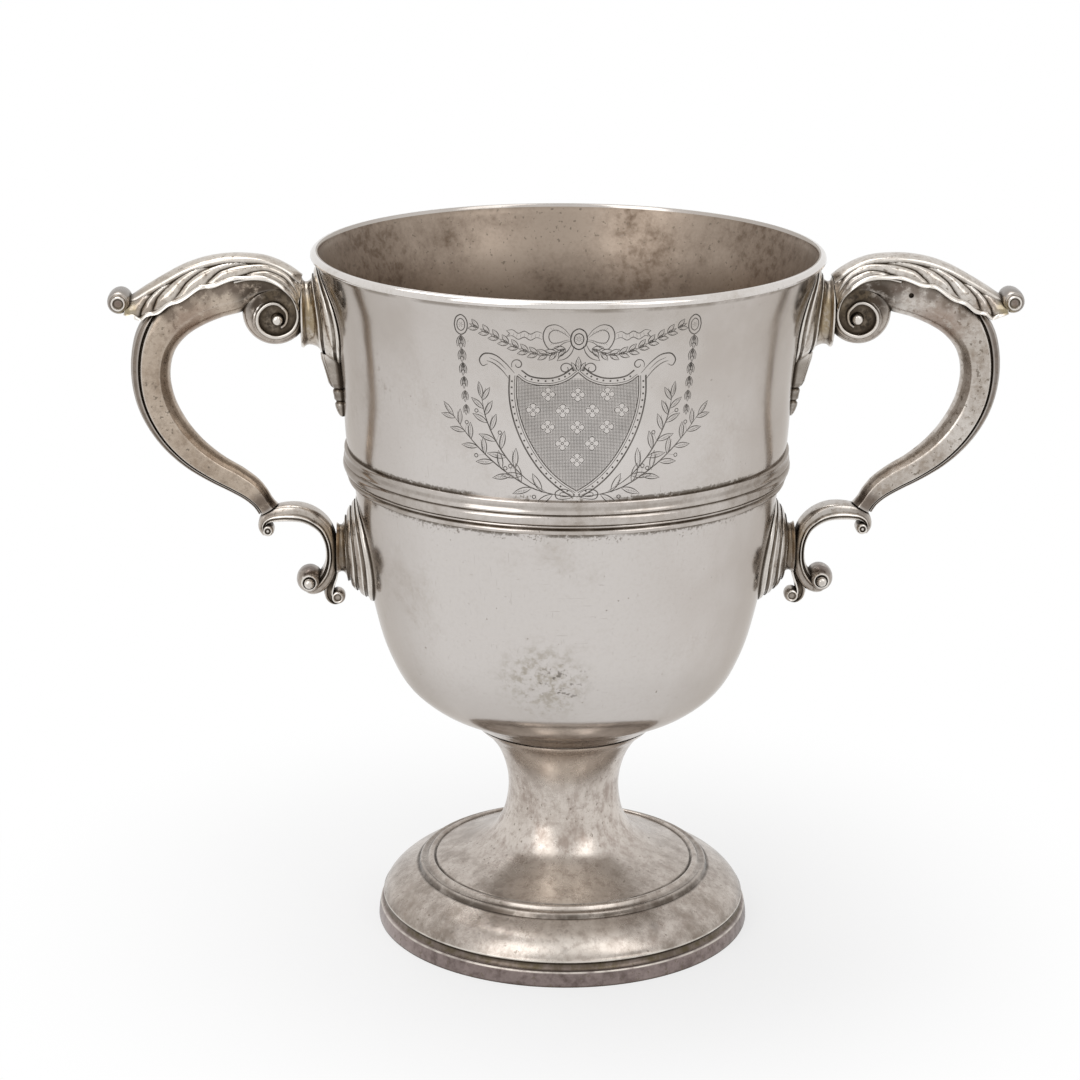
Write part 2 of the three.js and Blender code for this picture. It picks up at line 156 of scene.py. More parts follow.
class Finish:
    """A material that is built up coat by coat on a first colour, in the piece's own coordinates."""

    def __init__(self, name, colour):
        self.material = bpy.data.materials.new(name)
        self.material.use_nodes = True
        self.tree = self.material.node_tree
        self.shader = self.tree.nodes["Principled BSDF"]
        self.place = self.add("ShaderNodeTexCoord").outputs["Object"]
        self.colour = (*colour, 1)

    def wire(self, source, socket):
        """Link an output to a socket, or set a plain value on it."""
        if isinstance(source, bpy.types.NodeSocket):
            self.tree.links.new(source, socket)
        else:
            socket.default_value = source

    def add(self, kind, inputs=None, **settings):
        node = self.tree.nodes.new(kind)
        for key, value in settings.items():
            setattr(node, key, value)
        for key, source in (inputs or {}).items():
            self.wire(source, node.inputs[key])
        return node

    def math(self, operation, first, second=0.0):
        return self.add("ShaderNodeMath", {0: first, 1: second}, operation=operation).outputs[0]

    def one_by_one(self, operation, first, *others):
        for other in others:
            first = self.math(operation, first, other)
        return first

    def times(self, *values):
        return self.one_by_one("MULTIPLY", *values)

    def plus(self, *values):
        return self.one_by_one("ADD", *values)

    def most(self, *values):
        return self.one_by_one("MAXIMUM", *values)

    def between(self, source, low, high, start=0.0, stop=1.0):
        """The source's range from low to high, spread softly from start to stop."""
        return self.add("ShaderNodeMapRange", {
            "Value": source, "From Min": low, "From Max": high, "To Min": start, "To Max": stop},
            interpolation_type="SMOOTHSTEP").outputs["Result"]

    def cloud(self, size, detail, roughness, stretch=(1, 1, 1), turn=(0, 0, 0), shift=(0, 0, 0)):
        """Noise whose patches are about size millimetres across."""
        moved = self.add("ShaderNodeMapping", {
            "Vector": self.place, "Scale": stretch, "Rotation": turn, "Location": shift})
        return self.add("ShaderNodeTexNoise", {
            "Vector": moved.outputs["Vector"], "Scale": 1 / (size * MM), "Detail": detail,
            "Roughness": roughness}).outputs["Fac"]

    def patches(self, size, detail, roughness, low, high, start=0.0, stop=1.0, **moved):
        """Soft-edged patches, where a cloud lies between low and high."""
        return self.between(self.cloud(size, detail, roughness, **moved), low, high, start, stop)

    def coat(self, tone, *shares):
        """Lay a tone over the colour so far, as thick as the product of the shares."""
        self.colour = self.add("ShaderNodeMix", {
            "Factor": self.times(*shares), "A": self.colour, "B": (*tone, 1)}, data_type="RGBA").outputs["Result"]

    def axes(self):
        """Distance from the cup's axis, height, and how far to the right, of the place."""
        parts = self.add("ShaderNodeSeparateXYZ", {0: self.place}).outputs
        level = self.add("ShaderNodeCombineXYZ", {"X": parts["X"], "Y": parts["Y"]})
        length = self.add("ShaderNodeVectorMath", {0: level.outputs[0]}, operation="LENGTH")
        return length.outputs["Value"], parts["Z"], parts["X"]

    def stripe(self, source, middle, half, soft):
        """A stripe where the source is within half of the middle, with soft edges; in millimetres."""
        apart = self.math("ABSOLUTE", self.math("SUBTRACT", source, middle * MM))
        return self.between(apart, (half + soft) * MM, half * MM)

    def near(self, centre, size, core=0.2, place=None):
        """1 round a centre, fading to 0 at size millimetres from it."""
        apart = self.add("ShaderNodeVectorMath", {0: place or self.place, 1: Vector(centre) * MM},
                         operation="DISTANCE")
        return self.between(apart.outputs["Value"], size * MM, core * size * MM)

    def recess(self, reach):
        """How shut in a place is, from 0 in the open to 1 in a crack, within reach millimetres."""
        open_share = self.add("ShaderNodeAmbientOcclusion", {"Distance": reach * MM}, samples=8).outputs["AO"]
        return self.math("SUBTRACT", 1.0, open_share)

    def relief(self, height, depth, under=None):
        """Bump of so many millimetres, on top of the bump under it."""
        bump = self.add("ShaderNodeBump", {"Strength": 1.0, "Distance": depth * MM, "Height": height})
        if under:
            self.wire(under, bump.inputs["Normal"])
        return bump.outputs["Normal"]

    def surface(self, metallic, roughness, normal=None):
        """Give the shader the colour that was built up, and the material is done."""
        self.wire(self.colour, self.shader.inputs["Base Color"])
        self.wire(metallic, self.shader.inputs["Metallic"])
        self.wire(roughness, self.shader.inputs["Roughness"])
        if normal:
            self.wire(normal, self.shader.inputs["Normal"])
        return self.material


def old_silver(name, clean, film, film_range, dirt_and_shade_range, roughness, waves, shift=0.0, pits=0.72, reach=1.4,
               wear=0.0, carved=False, edge_shine=(1, 1, 1, 1), marks=None):
    """Silver with a cloudy brown film, dirt and painted shade in its recesses, pits, scratches and hammered waves."""
    finish = Finish(name, clean)
    moved = {"shift": (shift, shift, shift)}
    small = finish.patches(2.6, 5, 0.6, 0.42, 0.68, **moved)
    veil = finish.times(finish.patches(26, 6, 0.62, *film_range, **moved),
                        finish.plus(0.55, finish.times(small, 0.45)))
    veil = finish.plus(veil, finish.patches(0.9, 4, 0.65, 0.3, 0.7, -0.10, 0.10, **moved))
    finish.coat(film, veil)
    hairs = finish.most(finish.patches(0.45, 1, 0.5, 0.70, 0.78, stretch=(1, 1, 0.03), turn=(0.35, 0.2, 0)),
                        finish.patches(0.5, 1, 0.5, 0.71, 0.79, stretch=(0.03, 1, 1), turn=(0, 0.5, 0.3)))
    finish.coat((0.30, 0.27, 0.24), hairs, 0.22)
    finish.coat((0.16, 0.13, 0.10), finish.patches(1.1, 3, 0.5, pits, pits + 0.05, **moved), 0.75)
    if marks:
        marks(finish)
    if wear:
        ridges = finish.between(finish.add("ShaderNodeNewGeometry").outputs["Pointiness"], 0.515, 0.58)
        finish.coat((0.74, 0.70, 0.655), ridges, wear)
    # carving marks: ridges lighter (wear and painted highlight), grooves darker (dirt and painted shade)
    if carved:
        carving = finish.add("ShaderNodeAttribute", attribute_name="carving").outputs["Fac"]
        smear = finish.patches(3, 5, 0.65, 0.3, 0.6, start=0.55, **moved)
        finish.coat((0.78, 0.735, 0.68), finish.between(carving, 0.12, 0.42), smear)
        finish.coat((0.11, 0.086, 0.064), finish.between(carving, -0.08, -0.42, 0.0, 0.95), smear)
    # near-black in cracks and hollows, found by ambient occlusion: partly dirt, partly painted shade, as under the
    # leaf's edge and in gaps between parts
    crack = finish.between(finish.recess(reach), *dirt_and_shade_range)
    finish.coat((0.075, 0.058, 0.042), crack, 0.94)
    finish.shader.inputs["Specular Tint"].default_value = edge_shine
    dull = finish.plus(roughness, finish.times(veil, 0.12), finish.times(crack, 0.25))
    scratches = finish.plus(finish.cloud(0.5, 2, 0.5, stretch=(1, 1, 0.04), turn=(0.5, 0.2, 0)),
                            finish.cloud(0.6, 2, 0.5, stretch=(0.05, 1, 1), turn=(0, 0.35, 0.2)))
    hammered = finish.relief(finish.cloud(14, 2, 0.4, **moved), waves)
    return finish.surface(1.0, dull, finish.relief(scratches, 0.004, hammered))


def film_and_reflection_at_sides(finish, tone, start, share):
    """Darkens the cup towards the handles: partly film, where a polishing cloth hardly gets, and partly a painted
    reflection of the handles.
    """
    radius, _, x = finish.axes()
    sideways = finish.math("DIVIDE", finish.math("ABSOLUTE", x), radius)
    finish.coat(tone, finish.between(sideways, start, 1.0, 0.0, share))


def bowl_marks(finish):
    """A warm darker coat towards the lip, on the right, on the far left and low on the belly, a lighter patch in front,
    tarnish that polishing left along both edges of the girdle, old stains on the belly, a mottled patch high on the
    left and a dark line just under the lip wire."""
    _, z, x = finish.axes()
    drift = finish.patches(22, 3, 0.5, 0.32, 0.68, start=0.4, shift=(0.2, 0, 0.9))
    for source, low, high, tone, share in (
            (z, 134, 171, (0.43, 0.39, 0.352), 0.9), (x, 5, 45, (0.46, 0.415, 0.375), 0.75),
            (x, -30, -54, (0.46, 0.42, 0.385), 0.6), (z, 84, 60, (0.45, 0.415, 0.385), 0.75)):
        finish.coat(tone, finish.between(source, low * MM, high * MM), share, drift)
    finish.coat((0.66, 0.63, 0.605), finish.near((2, -52, 146), 34),
                finish.patches(11, 4, 0.6, 0.3, 0.65, start=0.2, stop=0.7))
    # painted reflection of the handles, with film: the bowl darker towards its sides
    film_and_reflection_at_sides(finish, (0.36, 0.33, 0.30), 0.60, 0.45)
    edges = finish.most(finish.stripe(z, 126.4, 0.35, 1.2), finish.stripe(z, 117.8, 0.2, 1.6))
    spread = finish.most(finish.stripe(z, 126.6, 0.3, 2.2), finish.stripe(z, 117.4, 0.3, 5.0))
    specks = finish.between(finish.plus(finish.cloud(0.8, 5, 0.75), finish.times(spread, 0.24)), 0.76, 0.82)
    finish.coat((0.16, 0.135, 0.11), specks, finish.patches(8, 3, 0.55, 0.42, 0.58, shift=(0.6, 0.4, 0.2)), 0.8)
    flecks = finish.between(finish.plus(finish.cloud(1.0, 6, 0.75), finish.times(edges, 0.35)), 0.68, 0.82)
    runs = finish.most(finish.patches(17, 2, 0.5, 0.42, 0.56, shift=(0.3, 0.1, 0.6)), *(
        finish.near(centre, size, 0.6) for centre, size in (
            ((24, -48, 126), 19), ((-28, -44, 117), 15), ((26, -46, 117), 17), ((0, -53, 118), 9))))
    finish.coat((0.12, 0.10, 0.08), flecks, edges, runs, 0.9)
    for tone, centre, size, patch, low, high in (
            ((0.38, 0.345, 0.295), (-7, -44, 80), 15, 2.2, 0.42, 0.64),
            ((0.15, 0.13, 0.11), (-4, -43, 79), 11, 1.5, 0.575, 0.62),
            ((0.34, 0.30, 0.265), (-46, -30, 150), 12, 2.2, 0.55, 0.74)):
        finish.coat(tone, finish.near(centre, size), finish.patches(patch, 6, 0.68, low, high))
    finish.coat((0.20, 0.17, 0.14), finish.stripe(z, 172.8, 0.2, 0.7), finish.patches(9, 4, 0.6, 0.35, 0.6), 0.7)


wall_line = smooth_through(
    [(12, BOWL_BOTTOM), (22.6, 53.2), (28.2, 56.8), (34.6, 60.1), (40.2, 65), (45, 74), (48.1, 85),
     (50.4, 98), (52.5, 114), (53.3, 121), (54.7, 128), (55, 132), (55.4, 142.6), (55.9, 147.4), (56.9, 155),
     (58.3, 162), (60.2, 168.5), (61.5, 173)], 5)


def wall_radius(height):
    """Radius of the bowl's outside at a height, in millimetres."""
    for low, high in zip(wall_line, wall_line[1:]):
        if high.y >= height:
            share = (height - low.y) / (high.y - low.y)
            return low.x + (high.x - low.x) * share
    return wall_line[-1].x


inner_line = offset_inward(wall_line, WALL)
mouth = [(61.58, 174.4), (61.55, 174.9), (61.4, RIM_TOP), (61.15, 174.95), (60.95, 174.7), (60.9, 174.2)]
bowl = spin_round("bowl_body", [
    (0, BOWL_BOTTOM), *wall_line, *mouth, *reversed(inner_line[1:]), (0, BOWL_BOTTOM + WALL)], closed=False)
worn_silver = old_silver("worn_silver", (0.60, 0.565, 0.54), (0.44, 0.395, 0.35), (0.48, 0.80), (0.55, 0.9),
                         0.14, 0.05, reach=1.0, edge_shine=EDGE_SHINE, marks=bowl_marks)
cup_inside = old_silver("cup_inside", (0.35, 0.285, 0.23), (0.155, 0.113, 0.083), (0.34, 0.66), (0.8, 1.0),
                        0.34, 0.10, shift=0.4, pits=0.64)
set_in_frame(bowl, "body_silver", worn_silver, "bowl")
bowl.data.materials.append(cup_inside)
for face in bowl.data.polygons:
    outward = Vector((face.center.x, face.center.y, 0)).dot(face.normal)
    on_floor = face.center.z < BROWN_FLOOR * MM and face.normal.z > 0
    if (outward < 0 or on_floor) and face.center.z < BROWN_EDGE * MM:
        face.material_index = 1
smooth_faces(bowl)

# Engraving
# A shield of hatched lattice, under a bow with festoons and over crossed laurel sprays, is cut into the front.
# The lines are drawn flat, in millimetres round the wall and up it, and then laid round the bowl.
FLATTENED = 0.2
cuts = []


def cut(points, width=0.2, ends=0.35, twin=True, steps=4):
    """One stroke of the graver; it thins out to its ends, and is cut again on the other side."""
    line = smooth_through(points, steps) if len(points) > 2 else [Vector(point) for point in points]
    cuts.append((line, width, ends))
    if twin:
        cuts.append(([Vector((-place.x, place.y)) for place in line], width, ends))


def off(x, z, heading, ahead, aside=0.0):
    """A place so far ahead of (x, z) and aside to its left."""
    return (x + ahead * math.cos(heading) - aside * math.sin(heading),
            z + ahead * math.sin(heading) + aside * math.cos(heading))


def blade(x, z, heading, length, breadth, bow=0.0, shade=2, width=0.17):
    """A pointed leaf with its midrib and some shading down one half."""
    tip = off(x, z, heading, length, bow)
    for side in (1, -1):
        cut([(x, z), off(x, z, heading, 0.3 * length, side * 0.8 * breadth / 2 + 0.2 * bow),
             off(x, z, heading, 0.62 * length, side * 0.85 * breadth / 2 + 0.5 * bow), tip], width)
    cut([(x, z), off(x, z, heading, 0.85 * length, 0.8 * bow)], width * 0.7)
    for i in range(shade):
        start = (0.25 + 0.5 * i / shade) * length
        cut([off(x, z, heading, start, -0.04 * breadth), off(x, z, heading, start + 0.22 * length, -0.34 * breadth)],
            width * 0.8)


def ring_of(x, z, radius, width=0.17, tall=1.0, twin=True):
    cut([(x + radius * math.cos(i * math.tau / 8), z + tall * radius * math.sin(i * math.tau / 8))
         for i in range(9)], width, 1.0, twin, steps=3)


def petals(x, z, count, inner, outer, width, twin=True):
    """Short strokes round a middle."""
    for i in range(count):
        heading = i * math.tau / count
        cut([off(x, z, heading, inner), off(x, z, heading, outer)], width, twin=twin)


def curl(x, z, radius, start, turns, hand, width=0.22):
    """A spiral that winds in from (x, z); hand is 1 to the left and -1 to the right."""
    middle = (x + radius * math.cos(start), z + radius * math.sin(start))
    points = []
    for i in range(int(turns * 12) + 1):
        angle = start + math.pi + hand * i * math.tau / 12
        shrink = radius * (1 - 0.72 * i / (turns * 12))
        points.append((middle[0] + shrink * math.cos(angle), middle[1] + shrink * math.sin(angle)))
    cut(points, width, 0.5, steps=2)


# the shield: a double frame with pearls between, over a lattice of lozenges with a quatrefoil in each
shield = smooth_through([(14.0, 156.4), (14.1, 152), (13.4, 147.4), (11.9, 142.8), (9.5, 138.2), (6.2, 133.8),
                         (3.0, 130.9), (0, 128.9)], 6)
shoulder = smooth_through([(14.0, 156.4), (12.0, 155.0), (8.6, 154.3), (5.0, 154.6), (2.0, 155.9), (0, 157.6)], 6)
PEARLED_LINE = 0.5
PEARL_PITCH = 1.25
for line, outward in ((shield, 1), (shoulder, -1)):
    for gap, width in ((0.0, 0.22), (PEARLED_LINE, 0.13), (1.75, 0.3)):
        moved = []
        for i, place in enumerate(line):
            along = (line[min(i + 1, len(line) - 1)] - line[max(i - 1, 0)]).normalized()
            aside = Vector((-along.y, along.x)) * outward
            moved.append(Vector((max(place.x + aside.x * gap, 0), place.y + aside.y * gap)))
        cut(moved, width, 1.0, steps=1)
        gone = 0.0
        for before, place in zip(moved, moved[1:]):
            gone += (place - before).length
            if gap == PEARLED_LINE and gone > PEARL_PITCH:
                gone = 0.0
                along = (place - before).normalized()
                middle = place + Vector((-along.y, along.x)) * outward * 0.62
                cut([middle - along * 0.2, middle + along * 0.2], 0.5, 0.7)


def half_field(height):
    """Half the width of the shield's field at a height."""
    for high, low in zip(shield, shield[1:]):
        if low.y <= height <= high.y:
            return low.x + (high.x - low.x) * (height - low.y) / (high.y - low.y)
    return 0.0


def top_of_field(across):
    for far, near in zip(shoulder, shoulder[1:]):
        if near.x <= max(abs(across), 0.05) <= far.x:
            return near.y + (far.y - near.y) * (abs(across) - near.x) / (far.x - near.x)
    return 0.0


foils = [(column * 3.4, 152.2 - row * 3.95) for row in range(6) for column in range(-3, 4) if (row + column) % 2 == 0]
foils = [(x, z) for x, z in foils if abs(x) + 1.6 < half_field(z - 1.2)]


def in_foil(x, z):
    for middle_x, middle_z in foils:
        for petal_x, petal_z in ((0.85, 0), (-0.85, 0), (0, 0.85), (0, -0.85)):
            if math.hypot(x - middle_x - petal_x, z - middle_z - petal_z) < 0.82:
                return True
    return False


def hatch(places, width=0.08):
    """Cut the stretches of a line that lie in the field and clear of the quatrefoils."""
    run = []
    for x, z in [*places, (99, 0)]:
        if abs(x) < half_field(z) - 0.1 and z < top_of_field(x) - 0.1 and not in_foil(x, z):
            run.append((x, z))
        else:
            if len(run) > 2:
                cut([*run[:-1:4], run[-1]], width, 0.8, twin=False, steps=1)
            run = []


HATCH_PITCH = 0.345
for i in range(78):
    hatch([(-14 + j * 0.2, 129 + i * HATCH_PITCH) for j in range(141)])
for i in range(80):
    hatch([(-13.65 + i * HATCH_PITCH, 129 + j * 0.2) for j in range(141)])
for x, z in foils:
    ring_of(x, z, 0.28, 0.14, twin=False)
    for quarter in range(4):
        outline = ((0.5, -0.35), (1.1, -0.72), (1.65, 0), (1.1, 0.72), (0.5, 0.35))
        cut([off(x, z, quarter * math.pi / 2, *place) for place in outline], 0.13, 0.8, twin=False, steps=3)

# scrolls that stand out from the shield's shoulders and over its middle
cut([(14.6, 157.0), (17.0, 159.6), (19.6, 161.3), (22.0, 161.2), (23.0, 159.6), (22.2, 158.3), (21.0, 158.8)], 0.28)
cut([(15.6, 155.2), (17.6, 157.6), (19.8, 159.2), (21.2, 159.6)], 0.2)
cut([(16.6, 157.8), (18.6, 159.6), (20.6, 160.4)], 0.14)
curl(15.2, 158.4, 1.5, math.radians(150), 1.1, 1)
curl(1.4, 158.0, 1.6, math.radians(20), 1.2, -1)
blade(0.0, 157.9, math.pi / 2, 3.6, 1.3)
blade(0.5, 158.0, math.radians(62), 2.4, 0.9)

# the bow: a rosette for its knot, two loops and fluttering tails
ring_of(0, 165.8, 1.1, 0.2, 1.25)
ring_of(0, 165.8, 1.9, 0.24, 1.35)
petals(0, 165.8, 8, 0.2, 0.85, 0.2, twin=False)
cut([(1.9, 166.4), (3.4, 168.3), (5.4, 169.3), (7.2, 168.8), (8.1, 166.9), (7.7, 164.6), (6.6, 163.2), (5.0, 163.6),
     (3.2, 164.9), (1.9, 165.3)], 0.22)
cut([(2.2, 166.2), (3.8, 167.4), (5.4, 168.0), (6.5, 167.4), (6.8, 166), (6.2, 164.9), (4.8, 164.8), (3.2, 165.4),
     (2.2, 165.6)], 0.18)
for i in range(6):
    cut([(3.0 + i * 0.6, 166.9 + 0.2 * i), (3.4 + i * 0.62, 167.7 + 0.16 * i)], 0.13)
    cut([(3.1 + i * 0.55, 165.3 - 0.1 * i), (3.5 + i * 0.6, 164.9 - 0.14 * i)], 0.13)
cut([(1.6, 164.6), (2.6, 162.8), (4.2, 161.6), (4.9, 160.4)], 0.2)
cut([(1.0, 164.2), (1.6, 162.4), (2.9, 161.0), (4.9, 160.4)], 0.2)
for low in (165.4, 166.9):
    cut([(8.3, low + 0.2), (9.6, low + 0.6), (11.0, low - 0.1), (12.4, low + 0.6), (13.8, low), (15.2, low + 0.8),
         (16.6, low + 0.5)], 0.18)
cut([(16.6, 167.4), (15.9, 166.7), (16.6, 165.9)], 0.16)
for i in range(9):
    cut([(8.9 + i * 0.85, 166.9), (9.1 + i * 0.85, 165.9)], 0.13)

# festoons of small leaves from the bow to a rosette on each side, with a drop of husks under it
festoon = smooth_through([(3.0, 163.4), (7.0, 161.9), (11.4, 162.4), (16.0, 164.2), (20.6, 166.4), (25.8, 168.6)], 4)
for place, after in zip(festoon[::2], festoon[1::2]):
    heading = math.atan2(after.y - place.y, after.x - place.x)
    for side in (0.5, -0.5):
        blade(*place, heading + side, 2.7, 1.1, shade=1, width=0.2)
    blade(*place, heading, 2.5, 0.6, shade=0, width=0.15)
ring_of(27.6, 168.0, 1.0, 0.18, 1.5)
ring_of(27.6, 168.0, 1.65, 0.24, 1.5)
petals(27.6, 168.0, 6, 0.15, 0.7, 0.18)
for i in range(6):
    size = 3.7 - 0.2 * i
    for lean, part in ((0.3, 0.85), (-0.3, 0.85), (0, 1.0)):
        blade(27.6 - 0.25 * i, 165.4 - 3.4 * i, -math.pi / 2 + lean, size * part, size * 0.32, shade=0,
              width=0.19 - 0.008 * i)

# two laurel sprays on each side, crossed and tied under the shield
for spray, leaves in (
        ([(-3.2, 127.6), (3, 127.7), (9.5, 129.1), (16, 132.6), (21.5, 136.7), (26.2, 141.2), (29.6, 145.2)], 13),
        ([(6.5, 128.2), (12, 131.8), (16.4, 136.4), (19.6, 141.4), (21.6, 146.2), (22.4, 150.2)], 10)):
    cut(spray, 0.26)
    line = smooth_through(spray, 8)
    for i in range(leaves):
        share = 0.24 + 0.74 * i / (leaves - 1)
        k = min(int(share * (len(line) - 1)), len(line) - 2)
        place, after = line[k], line[k + 1]
        heading = math.atan2(after.y - place.y, after.x - place.x)
        side = 1 if i % 2 else -1
        blade(*place, heading + side * (0.75 - 0.2 * share), 5.4 - 1.6 * share, 1.5 - 0.3 * share,
              bow=side * 0.5, shade=4, width=0.2)
        if i % 3 == 1:
            berry = off(*place, heading - side * 0.9, 1.9)
            cut([place, berry], 0.14)
            ring_of(*off(*berry, heading - side * 0.9, 0.45), 0.42, 0.16)
    blade(*line[-1], heading, 4.2, 1.2, shade=4, width=0.2)
cut([(0.3, 127.9), (1.6, 129.0), (3.6, 129.3), (4.9, 128.4), (4.6, 127.1), (2.6, 126.9), (0.3, 127.6)], 0.22)
cut([(1.0, 127.9), (2.4, 128.4), (3.8, 128.3), (3.8, 127.7), (2.4, 127.5), (1.0, 127.7)], 0.15)


def lay_wires(name, lines, **settings):
    """A curve along each line of (x, y, fullness) points, in millimetres; the new object is in hand."""
    curve = bpy.data.curves.new(name, "CURVE")
    for key, value in settings.items():
        setattr(curve, key, value)
    for line in lines:
        spline = curve.splines.new("POLY")
        spline.points.add(len(line) - 1)
        for point, (x, y, fullness) in zip(spline.points, line):
            point.co = (x * MM, y * MM, 0, 1)
            point.radius = fullness
    wires = bpy.data.objects.new(name, curve)
    bpy.context.collection.objects.link(wires)
    take(wires)
    return wires


def make_one(name, *pieces):
    """Join pieces that were cast or soldered as one."""
    put_down()
    for piece in pieces:
        piece.select_set(True)
    bpy.context.view_layer.objects.active = pieces[0]
    bpy.ops.object.join()
    pieces[0].name = pieces[0].data.name = name
    put_down()
    return pieces[0]


lay_wires("engraved_lines", [
    [(*place, width * (ends + (1 - ends) * math.sin(math.pi * i / (len(line) - 1)))) for i, place in enumerate(line)]
    for line, width, ends in cuts], dimensions="3D", bevel_depth=0.6 * MM, bevel_resolution=0)
bpy.ops.object.convert(target="MESH")
engraving = bpy.context.object
for vertex in engraving.data.vertices:
    across, up, deep = vertex.co / MM
    radius = wall_radius(up) + deep * FLATTENED
    vertex.co = Vector((radius * math.sin(across / radius), -radius * math.cos(across / radius), up)) * MM
cut_lines = Finish("cut_lines", (0.10, 0.09, 0.08))
cut_lines.coat((0.19, 0.17, 0.155), cut_lines.patches(6, 4, 0.6, 0.35, 0.65))
engraving.data.materials.append(cut_lines.surface(0.8, 0.45))
make_one("bowl_body", bowl, engraving)

# Lip wire
# A half-round silver wire, bent to a ring and soldered round the outside of the mouth, then filed
# flush with the edge of the sheet. It is the brightest part, because every hand and mouth rubs it.
lip = spin_round("lip_ring", [
    (61.5, 174.98), (61.85, 174.97), (62.3, 174.82), (62.65, 174.5), (62.86, 174.1), (62.88, 173.7), (62.7, 173.35),
    (62.35, 173.14), (61.9, 173.05), (61.5, 173.02)])
rubbed_silver = old_silver("rubbed_silver", (0.68, 0.645, 0.615), (0.44, 0.385, 0.33), (0.50, 0.80), (0.4, 0.7),
                           0.12, 0.02, shift=0.2, reach=0.9)
set_in_frame(lip, "body_silver", rubbed_silver, "lip_wire")
smooth_faces(lip, 60)

# Girdle
# A moulding drawn as wire through a shaped plate, bent round the belly and soldered on: a fillet
# and a hollow above, a broad round in the middle, a reed and a bead below. Dirt fills its lines.


def girdle_marks(finish):
    _, z, _ = finish.axes()
    # painted reflection of the handles, with film: the girdle darker towards its sides
    film_and_reflection_at_sides(finish, (0.20, 0.17, 0.145), 0.55, 0.7)
    smear = finish.patches(7, 5, 0.65, 0.3, 0.62, start=0.25)
    for middle, half, soft, share in (
            (119.35, 0.2, 0.35, 0.95), (120.42, 0.08, 0.2, 0.7), (122.95, 0.1, 0.28, 0.8), (124.6, 0.2, 0.5, 0.35)):
        finish.coat((0.12, 0.095, 0.07), finish.stripe(z, middle, half, soft), share, smear)


girdle_face = [
    (53.9, 117.95), (54.25, 118.1), (54.42, 118.45), (54.35, 118.85), (54.1, 119.1), (53.95, 119.35), (54.3, 119.65),
    (54.75, 119.8), (54.95, 120.05), (54.9, 120.25), (54.72, 120.4), (55.1, 120.65), (55.4, 121.1), (55.56, 121.7),
    (55.54, 122.2), (55.4, 122.6), (55.05, 122.82), (54.95, 122.98), (55.2, 123.15), (55.36, 123.4), (55.34, 123.65),
    (55.2, 123.85), (55.04, 124.2), (54.98, 124.7), (55.02, 125.1), (55.12, 125.3), (55.22, 125.5), (55.2, 125.85),
    (55.05, 126.1), (54.85, 126.2)]
girdle = spin_round("girdle_ring", [*girdle_face, (54.2, 126.2), (52.9, 117.95)])
lined_silver = old_silver("lined_silver", (0.56, 0.52, 0.487), (0.30, 0.255, 0.215), (0.36, 0.70), (0.35, 0.65),
                          0.13, 0.03, shift=0.9, reach=0.9, edge_shine=EDGE_SHINE, marks=girdle_marks)
set_in_frame(girdle, "body_silver", lined_silver, "girdle_wire")
smooth_faces(girdle, 50)

# Foot
# The foot is raised from one sheet too: a spool-shaped stem that is soldered under the bowl,
# spreads over a low disc, steps down over two reeds and ends in a dome. It is browner than the bowl.


def foot_marks(finish):
    """The flat of the foot is browner than the stem, partly film and partly a painted reflection of dark surroundings,
    but lighter in front, a painted reflection of the stem; a painted highlight lies on the top of the stem; its reeds
    are lined with dirt and its edges bright."""
    radius, z, _ = finish.axes()
    blotches = finish.patches(6, 9, 0.74, 0.36, 0.70, start=0.25, shift=(0.7, 0.2, 0))
    # painted reflection: the front of the disc and dome is made lighter and less brown, standing in for the bright stem
    # it mirrors
    painted_front_reflection = finish.most(finish.near((0, -27, 17), 19), finish.near((1, -44, 9), 19))
    # the browner flat is partly film and partly a painted reflection of dark surroundings
    low = finish.times(finish.between(z, 25 * MM, 16 * MM), finish.between(painted_front_reflection, 0.0, 0.8, 1.0, 0.12))
    finish.coat((0.26, 0.218, 0.185), low, blotches)
    finish.coat((0.72, 0.665, 0.605), painted_front_reflection, finish.patches(5, 6, 0.65, 0.30, 0.62, start=0.85, stop=0.35))
    for centre, size, share in (
            ((-1.3, -44.9, 8.6), 1.5, 0.35), ((21.5, -36.5, 11.2), 2.4, 0.4), ((-19.5, -36.0, 12.0), 2.4, 0.3)):
        finish.coat((0.12, 0.105, 0.10), finish.near(centre, size, 0.0), share)
    finish.coat((0.13, 0.105, 0.085), finish.patches(1.6, 6, 0.7, 0.60, 0.68), low, 0.55)
    finish.coat((0.27, 0.205, 0.17), finish.patches(5, 6, 0.72, 0.45, 0.64, stretch=(1, 1, 0.45)),
                finish.between(z, 17 * MM, 26 * MM), finish.between(z, 46 * MM, 36 * MM), 0.7)
    finish.coat((0.30, 0.245, 0.21), finish.patches(2.4, 8, 0.78, 0.48, 0.62, stop=0.5, shift=(0.9, 0.3, 0.5)))
    # painted highlight on the stem's top flare, under the bowl
    finish.coat((0.80, 0.74, 0.68), finish.near((-2, -20, 49), 17, 0.4),
                finish.patches(5, 5, 0.65, 0.3, 0.65, start=0.95, stop=0.5))
    smear = finish.patches(6, 5, 0.65, 0.3, 0.6, start=0.5)
    for middle, half, soft, share in ((33.08, 0.12, 0.4, 0.95), (35.75, 0.5, 0.6, 0.45), (37.35, 0.2, 0.6, 0.9)):
        finish.coat((0.065, 0.05, 0.038), finish.stripe(radius, middle, half, soft), share,
                    finish.between(z, 22 * MM, 20 * MM), smear)
    finish.coat((0.15, 0.12, 0.095), finish.between(z, 8.6 * MM, 6.8 * MM), 0.45, blotches)
    finish.coat((0.70, 0.66, 0.60), finish.stripe(z, 6.3, 0.1, 0.22),
                finish.patches(5, 4, 0.6, 0.3, 0.6, start=0.3, stop=0.85))


